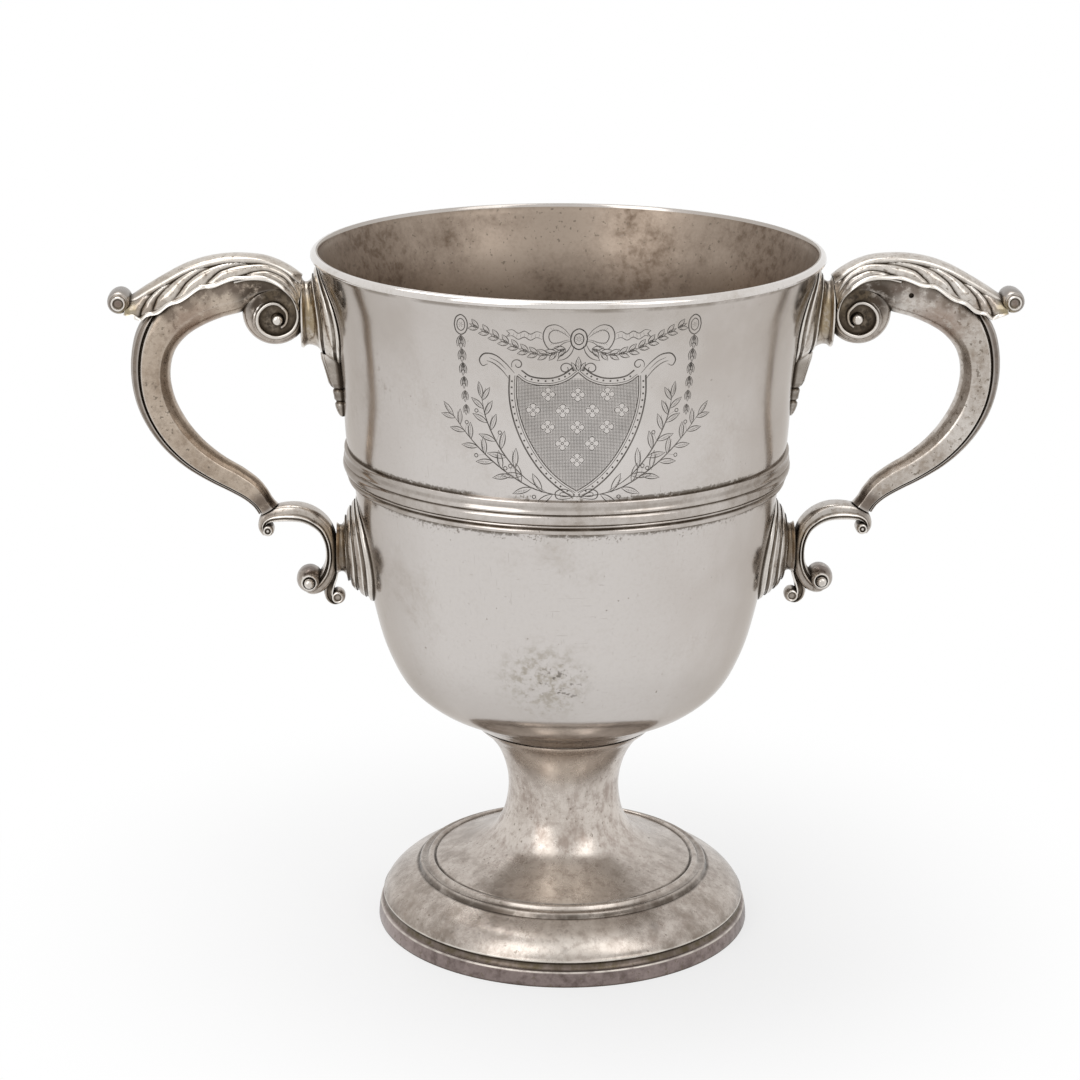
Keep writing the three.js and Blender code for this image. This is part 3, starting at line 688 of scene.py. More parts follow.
stem = smooth_through(
    [(22.9, 53.1), (22.5, 52.6), (19.5, 49.9), (16.7, 46), (15.1, 42), (14.12, 36), (14.4, 32),
     (15.3, 28), (18, 23.2), (23.8, 19), (32.5, 15.85)], 7)
reeds = [(32.8, 15.72), (33.05, 15.42), (33.3, 15.5), (33.5, 15.8), (33.9, 16.0), (34.35, 15.95),
         (34.7, 15.65), (35, 15.2), (35.4, 14.88), (35.85, 14.8), (36.1, 14.95), (36.4, 15.05), (36.75, 14.95),
         (37, 14.6), (37.15, 14.1), (37.4, 13.72), (37.7, 13.74)]
dome = smooth_through([(38.2, 13.45), (40.3, 12.35), (42.6, 10.95), (44.6, 9.2), (45.8, 7.6), (46.2, 6.7)], 4)
edge = [(46.45, 6.5), (46.5, 6.2), (46.3, 5.95)]
under = smooth_through([(45.2, 5.95), (44, 7.7), (41.2, 9.9), (36.2, 12.7), (32.6, 14.4), (21.6, 18.6),
                        (15.6, 25), (13.3, 31), (12.9, 36), (13.7, 41), (15.2, 46), (20.9, 51.9)], 4)
foot = spin_round("foot_body", [*stem, *reeds, *dome, *edge, *under])
foot_silver = old_silver("foot_silver", (0.62, 0.562, 0.51), (0.32, 0.262, 0.215), (0.42, 0.74), (0.30, 0.65),
                         0.25, 0.08, shift=0.7, pits=0.66, marks=foot_marks)
set_in_frame(foot, "foot_silver", foot_silver, "foot")
smooth_faces(foot, 50)

# Foot ring
# A cast and turned ring of moulded wire, soldered under the dome's edge, that the cup stands on.
# Its upright band is mottled brown and purple, with a bright worn edge over a dirty hollow.


def band_marks(finish):
    _, z, _ = finish.axes()
    smear = finish.patches(3, 6, 0.7, 0.3, 0.7, start=0.35)
    finish.coat((0.10, 0.08, 0.05), finish.between(z, 3.9 * MM, 4.2 * MM), smear)
    finish.coat((0.05, 0.04, 0.03), finish.between(z, 5.0 * MM, 5.6 * MM), 0.8)
    finish.coat((0.66, 0.61, 0.55), finish.stripe(z, 3.72, 0.08, 0.2),
                finish.patches(4, 4, 0.6, 0.3, 0.6, start=0.2, stop=0.8))


ring = spin_round("foot_band", [
    (44.6, 0), (47.55, 0), (47.7, 0.15), (47.68, 0.8), (47.5, 2.2), (47.3, 3.2), (47.22, 3.65), (47.05, 3.88),
    (46.75, 3.95), (46.3, 4.15), (45.95, 4.6), (45.8, 5.1), (45.9, 5.6), (46.1, 5.98), (44.6, 6.0)])
band_silver = old_silver("band_silver", (0.335, 0.275, 0.26), (0.13, 0.10, 0.092), (0.34, 0.64), (0.3, 0.7),
                         0.28, 0.05, shift=1.1, pits=0.62, marks=band_marks)
set_in_frame(ring, "foot_silver", band_silver, "foot_ring")
smooth_faces(ring, 50)

# Grip
# Each grip is a hollow casting of two halves, soldered down the middle: an S that leaves the bowl under the
# leaf, bulges outwards and comes in at a thin knee. Its sides are nearly flat, with a slope along the inner edge.
VOLUTE_X, VOLUTE_Z = 70.9, 158.2


def folded(finish):
    """The place with both handles and both faces folded onto one."""
    return finish.add("ShaderNodeVectorMath", {0: finish.place}, operation="ABSOLUTE").outputs["Vector"]


def handle_marks(finish):
    """Dark and brown patches at listed places, the same on both handles; those under the leaf's edge are painted shade.
    """
    place = folded(finish)
    finish.coat((0.25, 0.195, 0.15), finish.patches(1.7, 7, 0.75, 0.47, 0.62, stop=0.45, shift=(0.4, 0.9, 0.1)))
    patches = finish.patches(2.2, 6, 0.68, 0.28, 0.52)
    for centre, size, tone, share in (
            ((102.0, 4.0, 161.0), 6.5, (0.31, 0.25, 0.20), 0.75), ((109.4, 0.0, 163.8), 7.0, (0.25, 0.225, 0.205), 0.9),
            # the near-black spots over the volute and the row of dark spots along the leaf's lower edge are painted
            # shade under the leaf
            ((75.5, 4.5, 164.0), 8.0, (0.075, 0.058, 0.045), 1.0),
            ((70.5, 4.5, 165.4), 4.5, (0.075, 0.058, 0.045), 0.9),
            ((91.0, 3.0, 156.5), 9.0, (0.27, 0.19, 0.145), 0.7), ((81.0, 4.8, 166.6), 3.6, (0.13, 0.10, 0.08), 0.9),
            ((85.0, 4.8, 165.8), 3.2, (0.16, 0.125, 0.10), 0.85), ((89.0, 4.8, 164.4), 3.0, (0.16, 0.125, 0.10), 0.85),
            ((93.0, 4.6, 162.4), 3.0, (0.18, 0.14, 0.11), 0.8), ((97.0, 4.4, 159.8), 2.8, (0.18, 0.14, 0.11), 0.8),
            ((63.2, 5.5, 159.5), 8.5, (0.29, 0.22, 0.125), 0.85), ((75.6, 2.5, 110.6), 5.0, (0.13, 0.10, 0.08), 0.85),
            ((64.3, 2.5, 94.0), 4.2, (0.13, 0.10, 0.085), 0.9), ((107.5, 3.5, 160.4), 3.6, (0.30, 0.24, 0.12), 0.7),
            ((57.6, 4.0, 101.0), 9.0, (0.27, 0.20, 0.125), 0.75), ((57.6, 1.0, 138.6), 6.5, (0.15, 0.125, 0.10), 0.85),
            ((58.6, 1.5, 145.5), 5.0, (0.20, 0.17, 0.14), 0.8), ((109.4, 4.9, 162.2), 1.15, (0.20, 0.15, 0.125), 0.9)):
        finish.coat(tone, finish.near(centre, size, 0.3, place), patches, share)


def scroll_marks(finish):
    """Old dirt fills the channels that are sunk in the scroll's faces, and the ridges are worn bright."""
    handle_marks(finish)
    parts = finish.add("ShaderNodeSeparateXYZ", {0: folded(finish)}).outputs
    flat = finish.add("ShaderNodeCombineXYZ", {"X": parts["X"], "Z": parts["Z"]}).outputs[0]
    hollow = finish.most(finish.near((VOLUTE_X, 0, VOLUTE_Z), 5.1, 0.8, flat),
                         finish.near((70.8, 0, 164.2), 5.0, 0.5, flat))
    sunk = finish.times(hollow, finish.between(parts["Y"], 4.75 * MM, 4.3 * MM),
                        finish.patches(2.5, 5, 0.65, 0.3, 0.7, start=0.55))
    finish.coat((0.105, 0.08, 0.053), sunk)
    finish.coat((0.035, 0.028, 0.022), finish.patches(1.3, 7, 0.75, 0.44, 0.58, shift=(0.2, 0.5, 0.8)), sunk)
    finish.coat((0.72, 0.675, 0.62), finish.between(parts["Y"], 4.95 * MM, 5.3 * MM, 0.0, 0.85))


# the clean silver and its film on the left handle, then on the right one, which is less brown
handle_tones = {
    "grip": ((0.52, 0.437, 0.357), (0.25, 0.18, 0.125), (0.62, 0.578, 0.535), (0.34, 0.285, 0.235)),
    "leaf": ((0.60, 0.55, 0.49), (0.33, 0.27, 0.21), (0.66, 0.62, 0.575), (0.38, 0.325, 0.27)),
    "strip": ((0.26, 0.222, 0.19), (0.14, 0.11, 0.085), (0.27, 0.24, 0.218), (0.15, 0.12, 0.10)),
    "thumb": ((0.32, 0.285, 0.25), (0.18, 0.145, 0.12), (0.32, 0.295, 0.27), (0.18, 0.15, 0.13)),
    "volute": ((0.50, 0.44, 0.385), (0.27, 0.21, 0.165), (0.52, 0.475, 0.43), (0.28, 0.23, 0.185)),
    "foliage": ((0.46, 0.415, 0.37), (0.24, 0.19, 0.15), (0.47, 0.435, 0.40), (0.25, 0.205, 0.165))}
# roughness, how far dirt and painted shade reach out of a crack, and how bright the ridges are worn
handle_wear = {
    "grip": (0.19, 2.6, 0.45), "leaf": (0.18, 1.8, 0.7), "strip": (0.25, 2.2, 0.5),
    "thumb": (0.22, 1.6, 0.6), "volute": (0.2, 1.8, 0.8), "foliage": (0.21, 1.6, 0.7)}
handle_finish = {}
for kind, tones in handle_tones.items():
    roughness, reach, wear = handle_wear[kind]
    for side, clean_and_film, shift in (("left", tones[:2], 2.6), ("right", tones[2:], 1.6)):
        handle_finish[side, kind] = old_silver(
            f"{side}_{kind}_silver", *clean_and_film, (0.32, 0.66), (0.10, 0.42), roughness, 0.06, shift=shift,
            pits=0.625, reach=reach, wear=wear, carved=True, marks=scroll_marks if kind == "volute" else handle_marks)


def stand_up(piece):
    """Stand a piece that lies on the bench, as seen from the side, in the cup's middle plane."""
    take(piece)
    piece.rotation_euler = (math.pi / 2, 0, 0)
    bpy.ops.object.transform_apply(location=True, rotation=True, scale=True)
    put_down()
    return piece


def modify(piece, kind, **settings):
    """Put a modifier on a piece and apply it."""
    take(piece)
    bpy.ops.object.modifier_add(type=kind)
    modifier = piece.modifiers[-1]
    for key, value in settings.items():
        setattr(modifier, key, value)
    bpy.ops.object.modifier_apply(modifier=modifier.name)


def run_of(track):
    """A track's points, each with its share of the run's length, and that length."""
    places = smooth_through(track, 16)
    gone = [0.0]
    for one, other in zip(places, places[1:]):
        gone.append(gone[-1] + Vector((other.x - one.x, other.z - one.z)).length)
    return places, [share / gone[-1] for share in gone], gone[-1]


def at_share(values, shares, share):
    """A value that changes along a run, at one share of it."""
    for i in range(len(shares) - 1):
        if shares[i + 1] >= share:
            part = (share - shares[i]) / (shares[i + 1] - shares[i])
            return values[i] + (values[i + 1] - values[i]) * part
    return values[-1]


def ease(start, stop, share, first, last):
    """From start to stop as share goes from first to last, with soft ends."""
    part = min(max((share - first) / (last - first), 0), 1)
    return start + (stop - start) * part * part * (3 - 2 * part)


def relief_along(profile, span=0.5):
    """How far each point of a profile stands out to the left of its surroundings, below 0 in a groove."""
    line = [Vector(point) for point in profile]
    gone = [0.0]
    for one, other in zip(line, line[1:]):
        gone.append(gone[-1] + max((other - one).length, 1e-6))
    values = []
    for place, point in zip(gone, line):
        before = at_share(line, gone, max(place - span, 0))
        after = at_share(line, gone, min(place + span, gone[-1]))
        along = (after - before).normalized()
        values.append((point - (before + after) / 2).dot(Vector((-along.y, along.x))) / span)
    return values


def note_carving(piece, values):
    """Keep with every vertex how far it stands out, for the dirt and painted shade in the grooves and the wear and
    painted highlight on the ridges.
    """
    piece.data.attributes.new("carving", "FLOAT", "POINT").data.foreach_set("value", values)


def nearest(points, here):
    """The number of the point that lies nearest to a place."""
    return min(range(len(points)), key=lambda i: (Vector(points[i]) - here).length_squared)


def bent_bar(name, track, outline, depth, rings=60, shine=1.0):
    """A bar drawn straight on the bench, ring by ring, then bent along a track.

    The outline is one ring of (outward, depth) points between -1 and 1. The track's points hold X,
    half the bar's height and Z; depth gives half the bar's depth at a share of the run."""
    places, shares, length = run_of(track)
    halves = [place.y for place in places]
    size = Vector((halves[0], depth(0)))
    bar = draw_line(name, [(0, a * size.x, b * size.y) for a, b in outline])
    only_ends(bar)
    bpy.ops.mesh.edge_face_add()
    bpy.ops.mesh.select_all(action="SELECT")
    for i in range(1, rings + 1):
        share = i / rings
        new = Vector((at_share(halves, shares, share), depth(share)))
        bpy.ops.mesh.extrude_edges_move(TRANSFORM_OT_translate={"value": (length * MM / rings, 0, 0)})
        bpy.ops.transform.resize(value=(1, new.x / size.x, new.y / size.y),
                                 center_override=(length * share * MM, 0, 0))
        size = new
    bpy.ops.mesh.edge_face_add()
    bpy.ops.object.mode_set(mode="OBJECT")
    for vertex in bar.data.vertices:
        vertex.select = vertex.co.x < 0.001 * MM
    bpy.ops.object.mode_set(mode="EDIT")
    bpy.ops.mesh.edge_face_add()
    bpy.ops.mesh.select_all(action="SELECT")
    bpy.ops.mesh.normals_make_consistent(inside=False)
    put_down()
    middle = Vector((at_share(halves, shares, 0.5), depth(0.5)))
    relief = relief_along([(a * middle.x, b * middle.y) for a, b in outline])
    values = []
    for vertex in bar.data.vertices:
        share = vertex.co.x / (length * MM)
        here = Vector((vertex.co.y / at_share(halves, shares, share), vertex.co.z / depth(share))) / MM
        values.append(relief[nearest(outline, here)] * shine)
    note_carving(bar, values)
    line = lay_wires(name + "_line", [[(place.x, place.z, 1) for place in places]], dimensions="2D",
                     use_stretch=True, use_deform_bounds=True)
    modify(bar, "CURVE", object=line, deform_axis="POS_X")
    bpy.data.objects.remove(line)
    return stand_up(bar)


def both_sides(half):
    """A whole outline from its front half: (outward, depth) points from the inner to the outer edge."""
    return [*half, *((a, -b) for a, b in reversed(half[1:-1]))]


grip_track = [
    (66.0, 2.6, 164.8), (70.2, 3.5, 166.7), (75.1, 4.3, 166.6), (80.6, 5.7, 165), (86.5, 6, 163.6), (92, 5.7, 160.9),
    (96.7, 4.9, 156.8), (100, 4.1, 151.4), (101.3, 3.7, 144.9), (100.4, 3.65, 137.3), (97.1, 3.6, 130.2),
    (92.3, 3.4, 124.4), (86.6, 3.1, 120), (81.5, 2.95, 117), (78.0, 2.65, 114.5), (76.0, 2.3, 112.3),
    (74.9, 2.1, 110.7), (74.3, 2.2, 109.8), (74.0, 2.4, 109.3)]
grip_outline = both_sides([
    (-1, 0), (-0.97, 0.2), (-0.9, 0.4), (-0.8, 0.57), (-0.66, 0.72), (-0.54, 0.81), (-0.46, 0.88), (-0.38, 0.93),
    (-0.2, 0.98), (0, 1), (0.3, 1), (0.55, 0.97), (0.75, 0.92), (0.87, 0.86), (0.93, 0.76), (0.96, 0.5), (1, 0.2),
    (1, 0)])


def grip_depth(share):
    return 4.6 * ease(0.8, 1, share, 0.02, 0.14) * ease(1, 0.62, share, 0.55, 0.98)


handle = {"grip": bent_bar("grip", grip_track, grip_outline, grip_depth, rings=130)}

# Spine strip
# A strip along the back of the grip, from under the leaf's tip to the knee. A dirty groove parts it
# from the grip, and it thins out downwards.


def beside(track, start, stop, count, inner, outer):
    """A track that keeps inner to outer millimetres outside the bar on another track."""
    places, shares, _ = run_of(track)
    made = []
    for i in range(count + 1):
        share = start + (stop - start) * i / count
        here = at_share(places, shares, share)
        heading = at_share(places, shares, min(share + 0.01, 1)) - at_share(places, shares, share - 0.01)
        outward = Vector((-heading.z, heading.x)).normalized()
        near, far = inner(share), outer(share)
        reach = here.y + (near + far) / 2
        made.append((here.x + outward.x * reach, (far - near) / 2, here.z + outward.y * reach))
    return made


spine_track = beside(grip_track, 0.35, 0.995, 26, lambda share: -0.35,
                     lambda share: ease(1.2, 2.35, share, 0.35, 0.42) * ease(1, 0.32, share, 0.45, 0.9))
spine_outline = both_sides([
    (-1, 0), (-1, 0.8), (-0.78, 0.82), (-0.66, 0.93), (-0.5, 0.98), (-0.22, 0.97), (-0.02, 0.90), (0.14, 0.88),
    (0.3, 0.9), (0.48, 0.92), (0.68, 0.84), (0.88, 0.55), (1, 0)])
handle["spine"] = bent_bar("spine", spine_track, spine_outline, lambda share: 3.6 * ease(1, 0.68, share, 0.4, 1),
                           shine=0.25)

# Volute
# At the bowl the grip rolls up under the leaf into a solid cast scroll. A thin ridge runs in from the
# leaf's edge and winds round each of its faces, over a sunk channel, to a round boss in the middle.


def turned_across(name, profile, x, z, around=64):
    """A body turned about a level axis through (x, z); profile is half of it, as (radius, depth) points."""
    whole = [*reversed([(radius, -depth) for radius, depth in profile]), *profile[1:]]
    piece = spin_round(name, whole, closed=False, around=around)
    relief = relief_along([*reversed(profile)], 0.3)[::-1]
    places = [Vector((vertex.co.xy.length, abs(vertex.co.z))) / MM for vertex in piece.data.vertices]
    note_carving(piece, [relief[nearest(profile, here)] for here in places])
    take(piece)
    bpy.ops.transform.translate(value=(x * MM, z * MM, 0))
    bpy.ops.object.transform_apply(location=True, rotation=True, scale=True)
    return stand_up(piece)


def standing_ridge(name, points, width, depth):
    """A thin wall along a line on the bench, rounded along both edges; points hold x, z and fullness."""
    lay_wires(name, [smooth_through(points, 8)], dimensions="2D", fill_mode="NONE", bevel_depth=width / 2 * MM,
              bevel_resolution=3, extrude=(depth - width / 2) * MM, use_fill_caps=True)
    bpy.ops.object.convert(target="MESH")
    return stand_up(bpy.context.object)


BOWL_SIDE = 65.1
FLANK_GAP = 0.55
volute_body = turned_across("volute_body", [
    (8, 0), (7.97, 1.2), (7.8, 2.1), (7.4, 2.9), (6.9, 3.4), (6.2, 3.75), (5.2, 3.9), (0, 3.7)], 71.6, 159.4)
take(volute_body)
bpy.ops.object.mode_set(mode="EDIT")
bpy.ops.mesh.select_all(action="SELECT")
bpy.ops.mesh.bisect(plane_co=(BOWL_SIDE * MM, 0, 0), plane_no=(1, 0, 0), clear_inner=True, use_fill=True)
spiral = [
    (81.2, 167.8, 1.03), (78, 168.5, 1.05), (75, 168.5, 1.05), (72.6, 168, 1.04), (70.7, 167.1, 1.03),
    (68.8, 165.6, 1.02), (67.2, 163.9, 1.01), (66.3, 162.1, 1), (65.9, 160.3, 1), (65.9, 158.6, 1), (66.4, 157, 1),
    (67.4, 155.5, 1), (69.1, 154.4, 1), (71.4, 153.9, 1), (73.1, 154.3, 1), (74.5, 155.2, 1), (75.5, 156.6, 1),
    (75.8, 158.3, 1), (75.5, 159.7, 0.99), (74.6, 161, 0.98), (73.4, 161.9, 0.97), (71.9, 162.3, 0.96),
    (70.6, 162, 0.95), (69.5, 161.1, 0.94), (68.7, 160, 0.93), (68.6, 158.5, 0.92), (69.1, 157.1, 0.9),
    (70, 156.3, 0.88)]
wound = spiral[5:21]
flank = []
for i, (x, z, _) in enumerate(wound):
    away = Vector((x - VOLUTE_X, z - VOLUTE_Z)).normalized() * FLANK_GAP
    from_end = min(i, len(wound) - 1 - i)
    flank.append((x + away.x, z + away.y, min(0.80 + 0.2 * from_end / 3, 1)))
boss = turned_across("volute_boss", [
    (1.75, 0), (1.75, 3.6), (1.55, 4), (1.42, 4.7), (1.35, 5.3), (1.12, 5.8), (0.68, 6.1), (0, 6.2)],
    VOLUTE_X, VOLUTE_Z, around=32)
handle["volute"] = make_one(
    "volute", volute_body, standing_ridge("volute_ridge", spiral, 0.9, 5.45),
    standing_ridge("volute_flank", flank, 1.5, 4.75), boss)

# Leaf cap
# A cast leaf is soldered over the top of the grip. A smooth rolled band runs along its crest, and
# strands sweep down from under it to a scalloped lower edge that is turned out a little.
leaf_crest = smooth_through(
    [(65.3, 167.5), (67.4, 169.1), (69.8, 170.5), (73.5, 171.9), (78.5, 172.6), (84, 172.5),
     (88.8, 171.6), (93.5, 169.9), (98.5, 167.2), (102.5, 164.8), (105.4, 163), (107.8, 161.6)], 12)
leaf_edge = smooth_through(
    [(65.9, 160.5), (66.8, 163.3), (69.1, 165.9), (73, 168.3), (78.5, 168.5), (84, 167.5),
     (88, 166.4), (92, 164.6), (96.3, 162.0), (100.3, 160), (104.2, 158.3), (108.2, 159.4)], 12)
CREST = 0.33
LEAF_DEPTH = 5.9
LEAF_SHEET = 0.6
LEAF_SIDE = 7.5
GROOVE = 0.8
KNOT_LENGTH = 4
LAST_KNOT = len(leaf_crest) // 12
# places along the leaf are counted in knots, the points of its crest; a groove holds (knot, share of the side's fall)
lobe_ends = [0, 4.5, 6.3, 8.1, 9.5, 10.4, 11.6]
leaf_grooves = [
    [(0, 0.60), (1, 0.5), (2, 0.40), (3, 0.46), (3.7, 0.62), (4.4, 0.9), (4.8, 1.3), (11, 9)],
    [(0, 0.24), (1, 0.14), (2, 0.0), (2.4, -0.1), (3, 0.0), (3.6, 0.14), (4.35, 0.26), (5.15, 0.44), (5.8, 0.7),
     (6.3, 1), (6.8, 1.5), (11, 9)],
    [(0, -0.1), (3.6, -0.1), (4.4, 0.0), (5.1, 0.08), (6.1, 0.23), (7, 0.48), (7.7, 0.76), (8.2, 1.04), (8.6, 1.5),
     (11, 9)],
    [(0, -0.1), (5.8, -0.1), (6.5, 0.0), (7, 0.05), (7.6, 0.14), (8.1, 0.27), (8.6, 0.45), (9, 0.67), (9.5, 1.03),
     (9.8, 1.5), (11, 9)],
    [(0, -0.1), (8, -0.05), (8.7, 0.12), (9.3, 0.34), (9.8, 0.62), (10.35, 1.04), (10.6, 1.5), (11, 9)]]


def flute(knot, fall):
    """How deep the leaf's grooves cut at one place, from 0 to 1; a groove is about a millimetre wide."""
    deep = 0.0
    for groove in leaf_grooves:
        knots, falls = zip(*groove)
        here, ahead = at_share(falls, knots, knot), at_share(falls, knots, knot + 0.1)
        slope = (ahead - here) * LEAF_SIDE / (0.1 * KNOT_LENGTH)
        apart = (fall - here) * LEAF_SIDE / math.sqrt(1 + slope * slope)
        deep = max(deep, math.exp(-(apart / GROOVE) ** 2) * ease(1, 0, here, 0.55, 0.95))
    return deep


def leaf_place(along, across):
    """A place on the leaf, and how far it stands out: along runs from socket to tip, across from one lower
    edge over the crest to the other."""
    knot = along * LAST_KNOT
    i = min(int(knot * 12), len(leaf_crest) - 2)
    crest = leaf_crest[i].lerp(leaf_crest[i + 1], knot * 12 - i)
    low = leaf_edge[i].lerp(leaf_edge[i + 1], knot * 12 - i)
    side = abs(across)
    fall = max(side - CREST, 0) / (1 - CREST)
    carved = flute(knot, fall) * ease(0, 1, side, CREST + 0.01, CREST + 0.06)
    carved *= ease(0, 1, along, 0.01, 0.12) * ease(1, 0.4, along, 0.9, 1)
    swell = 0.25 - 1.0 * carved
    swell += ease(0.35, 0, side, CREST - 0.03, CREST + 0.03) * ease(1, 0.6, along, 0.8, 1)
    swell -= 0.4 * ease(0, 1, side, CREST, CREST + 0.03) * ease(1, 0, side, CREST + 0.03, CREST + 0.1)
    swell -= ease(0, 0.3, fall, 0.55, 0.85)
    hem = ease(0.2, 1, along, 0.02, 0.2) * ease(1, 0.1, along, 0.93, 1)
    swell += ease(0, 0.7, fall, 0.86, 0.98) * hem
    lobe = max(i for i in range(6) if lobe_ends[i] <= knot)
    part = (knot - lobe_ends[lobe]) / (lobe_ends[lobe + 1] - lobe_ends[lobe])
    hang = (0.65 * math.sin(math.pi * part ** 1.2) ** 1.4 - 0.3) * ease(0, 1, fall, 0.35, 1)
    hang *= ease(0, 1, along, 0.3, 0.42) * ease(1, 0.1, along, 0.9, 1)
    angle = across * math.pi / 2
    tall = (crest - low).length
    upward = (crest - low).normalized() * ((tall + swell) * math.cos(angle) - hang)
    deep = LEAF_DEPTH * ease(0.93, 1, along, 0, 0.1) * ease(1, 0.66, along, 0.62, 1) + swell
    brim = ease(0, 1, side, CREST - 0.05, CREST - 0.02) * ease(1, 0, side, CREST - 0.01, CREST + 0.01)
    under_brim = ease(0, 1, side, CREST, CREST + 0.02) * ease(1, 0, side, CREST + 0.04, CREST + 0.08)
    # this value lightens the crest's bead and the hem (wear and painted highlight) and darkens the groove under the
    # crest band and the flutes (dirt and painted shade)
    stands_out = 0.3 * brim - 0.4 * under_brim + 0.45 * ease(0, 1, fall, 0.88, 0.96) * hem - 0.5 * carved
    return Vector((low.x + upward.x, low.y + upward.y, deep * math.sin(angle))) * MM, stands_out


put_down()
bpy.ops.mesh.primitive_grid_add(x_subdivisions=190, y_subdivisions=110, size=2)
leaf = bpy.context.object
carving = []
for vertex in leaf.data.vertices:
    vertex.co, stands_out = leaf_place((vertex.co.x + 1) / 2, vertex.co.y)
    carving.append(stands_out)
note_carving(leaf, carving)
modify(leaf, "SOLIDIFY", thickness=LEAF_SHEET * MM, offset=-1)
leaf.name = leaf.data.name = "leaf"
handle["leaf"] = stand_up(leaf)

# Thumb scroll
# The leaf's tip is rolled up into a small solid scroll for the thumb.
# A ringed eye is turned in each of its ends.
handle["thumb"] = turned_across("thumb", [
    (2.95, 0), (2.95, 1.2), (2.87, 2.4), (2.7, 3.5), (2.4, 4.2), (2.1, 4.45), (1.9, 4.55), (1.8, 4.95), (1.62, 5.2),
    (1.38, 5.2), (1.2, 4.98), (1.05, 4.85), (0.6, 4.9), (0, 4.95)], 109.4, 162.2, around=48)

# Upper socket
# The handle meets the bowl in a cast socket: a short hollow-sided collar, then a stack of ribs that
# spread over the curve of the wall and narrow to a point below.
SOCKET_AROUND = 96
LOW_REACH = 12
BEHIND_WALL = -0.06
BACK_RINGS = (0.08, 0.25, 0.42, 0.58, 0.72, 0.86, 1.0)


def socket(name, ribs, centre, collar, point, taper):
    """Ribs drawn ring by ring away from a flat wall, then fitted to the bowl's curve.

    A ring holds half its width, half its height and how far it stands from the wall, 0, to the
    collar, 1; point says how much the lower ends narrow, and taper how much the ribs thin to both ends."""
    reach = collar - wall_radius(centre)
    width, height, _ = ribs[0]
    rings = [(width * share, height * share, BEHIND_WALL) for share in BACK_RINGS] + ribs
    put_down()
    bpy.ops.mesh.primitive_circle_add(vertices=SOCKET_AROUND, radius=MM, fill_type="NOTHING",
                                      location=(0, 0, centre * MM), rotation=(0, math.pi / 2, 0))
    piece = bpy.context.object
    piece.name = piece.data.name = name
    bpy.ops.object.transform_apply(location=True, rotation=True, scale=True)
    bpy.ops.object.mode_set(mode="EDIT")
    bpy.ops.mesh.select_all(action="SELECT")
    bpy.ops.mesh.edge_face_add()
    before = (1.0, 1.0, 0.0)
    for i, ring in enumerate(rings):
        step = {"value": ((ring[2] - before[2]) * reach * MM, 0, 0)}
        if i:  # every ring after the first is drawn out of the one before
            bpy.ops.mesh.extrude_edges_move(TRANSFORM_OT_translate=step)
        else:
            bpy.ops.transform.translate(**step)
        bpy.ops.transform.resize(value=(1, ring[0] / before[0], ring[1] / before[1]),
                                 center_override=(ring[2] * reach * MM, 0, centre * MM))
        before = ring
    bpy.ops.mesh.edge_face_add()
    bpy.ops.mesh.select_all(action="SELECT")
    bpy.ops.mesh.normals_make_consistent(inside=False)
    put_down()
    relief = relief_along([(stand * reach, tall) for _, tall, stand in rings], 0.4)
    note_carving(piece, [relief[vertex.index // SOCKET_AROUND] for vertex in piece.data.vertices])
    for vertex in piece.data.vertices:
        stand, y, z = vertex.co.x / (reach * MM), vertex.co.y / MM, vertex.co.z / MM
        stand *= 1 - taper * max(1 - stand, 0) * min(abs(z - centre) / height, 1) ** 4
        narrowed = point * (max(centre - z, 0) / LOW_REACH) ** 2
        y *= 1 - narrowed
        z -= 1.2 * narrowed * max(1 - abs(y) / 6, 0)
        wall = math.sqrt(wall_radius(z) ** 2 - y * y)
        vertex.co = Vector((wall + (collar - wall) * stand, y, z)) * MM
    return piece


handle["upper_socket"] = socket("upper_socket", [
    (13.1, 12.5, 0), (13.35, 12.75, 0.03), (13.3, 12.7, 0.06), (12.95, 12.45, 0.085), (12.1, 11.8, 0.09),
    (11.95, 11.65, 0.10), (11.9, 11.65, 0.15), (12.0, 11.8, 0.175), (11.95, 11.75, 0.2), (11.6, 11.6, 0.24),
    (11.15, 11.4, 0.28), (10.5, 10.95, 0.335), (9.8, 10.5, 0.375), (9.35, 10.15, 0.39), (8.8, 9.65, 0.392),
    (8.65, 9.5, 0.40), (8.6, 9.5, 0.445), (8.65, 9.75, 0.465), (8.5, 9.7, 0.49), (8.15, 9.45, 0.51), (7.8, 9.2, 0.515),
    (7.2, 8.8, 0.53), (6.6, 8.4, 0.57), (6.1, 8.05, 0.64), (5.75, 7.8, 0.72), (5.65, 7.75, 0.79), (5.75, 7.85, 0.86),
    (6.1, 8.2, 0.91), (6.35, 8.5, 0.945), (6.35, 8.5, 0.98),
    (6.1, 8.3, 1)], centre=159, collar=65.3, point=0.28, taper=0.3)

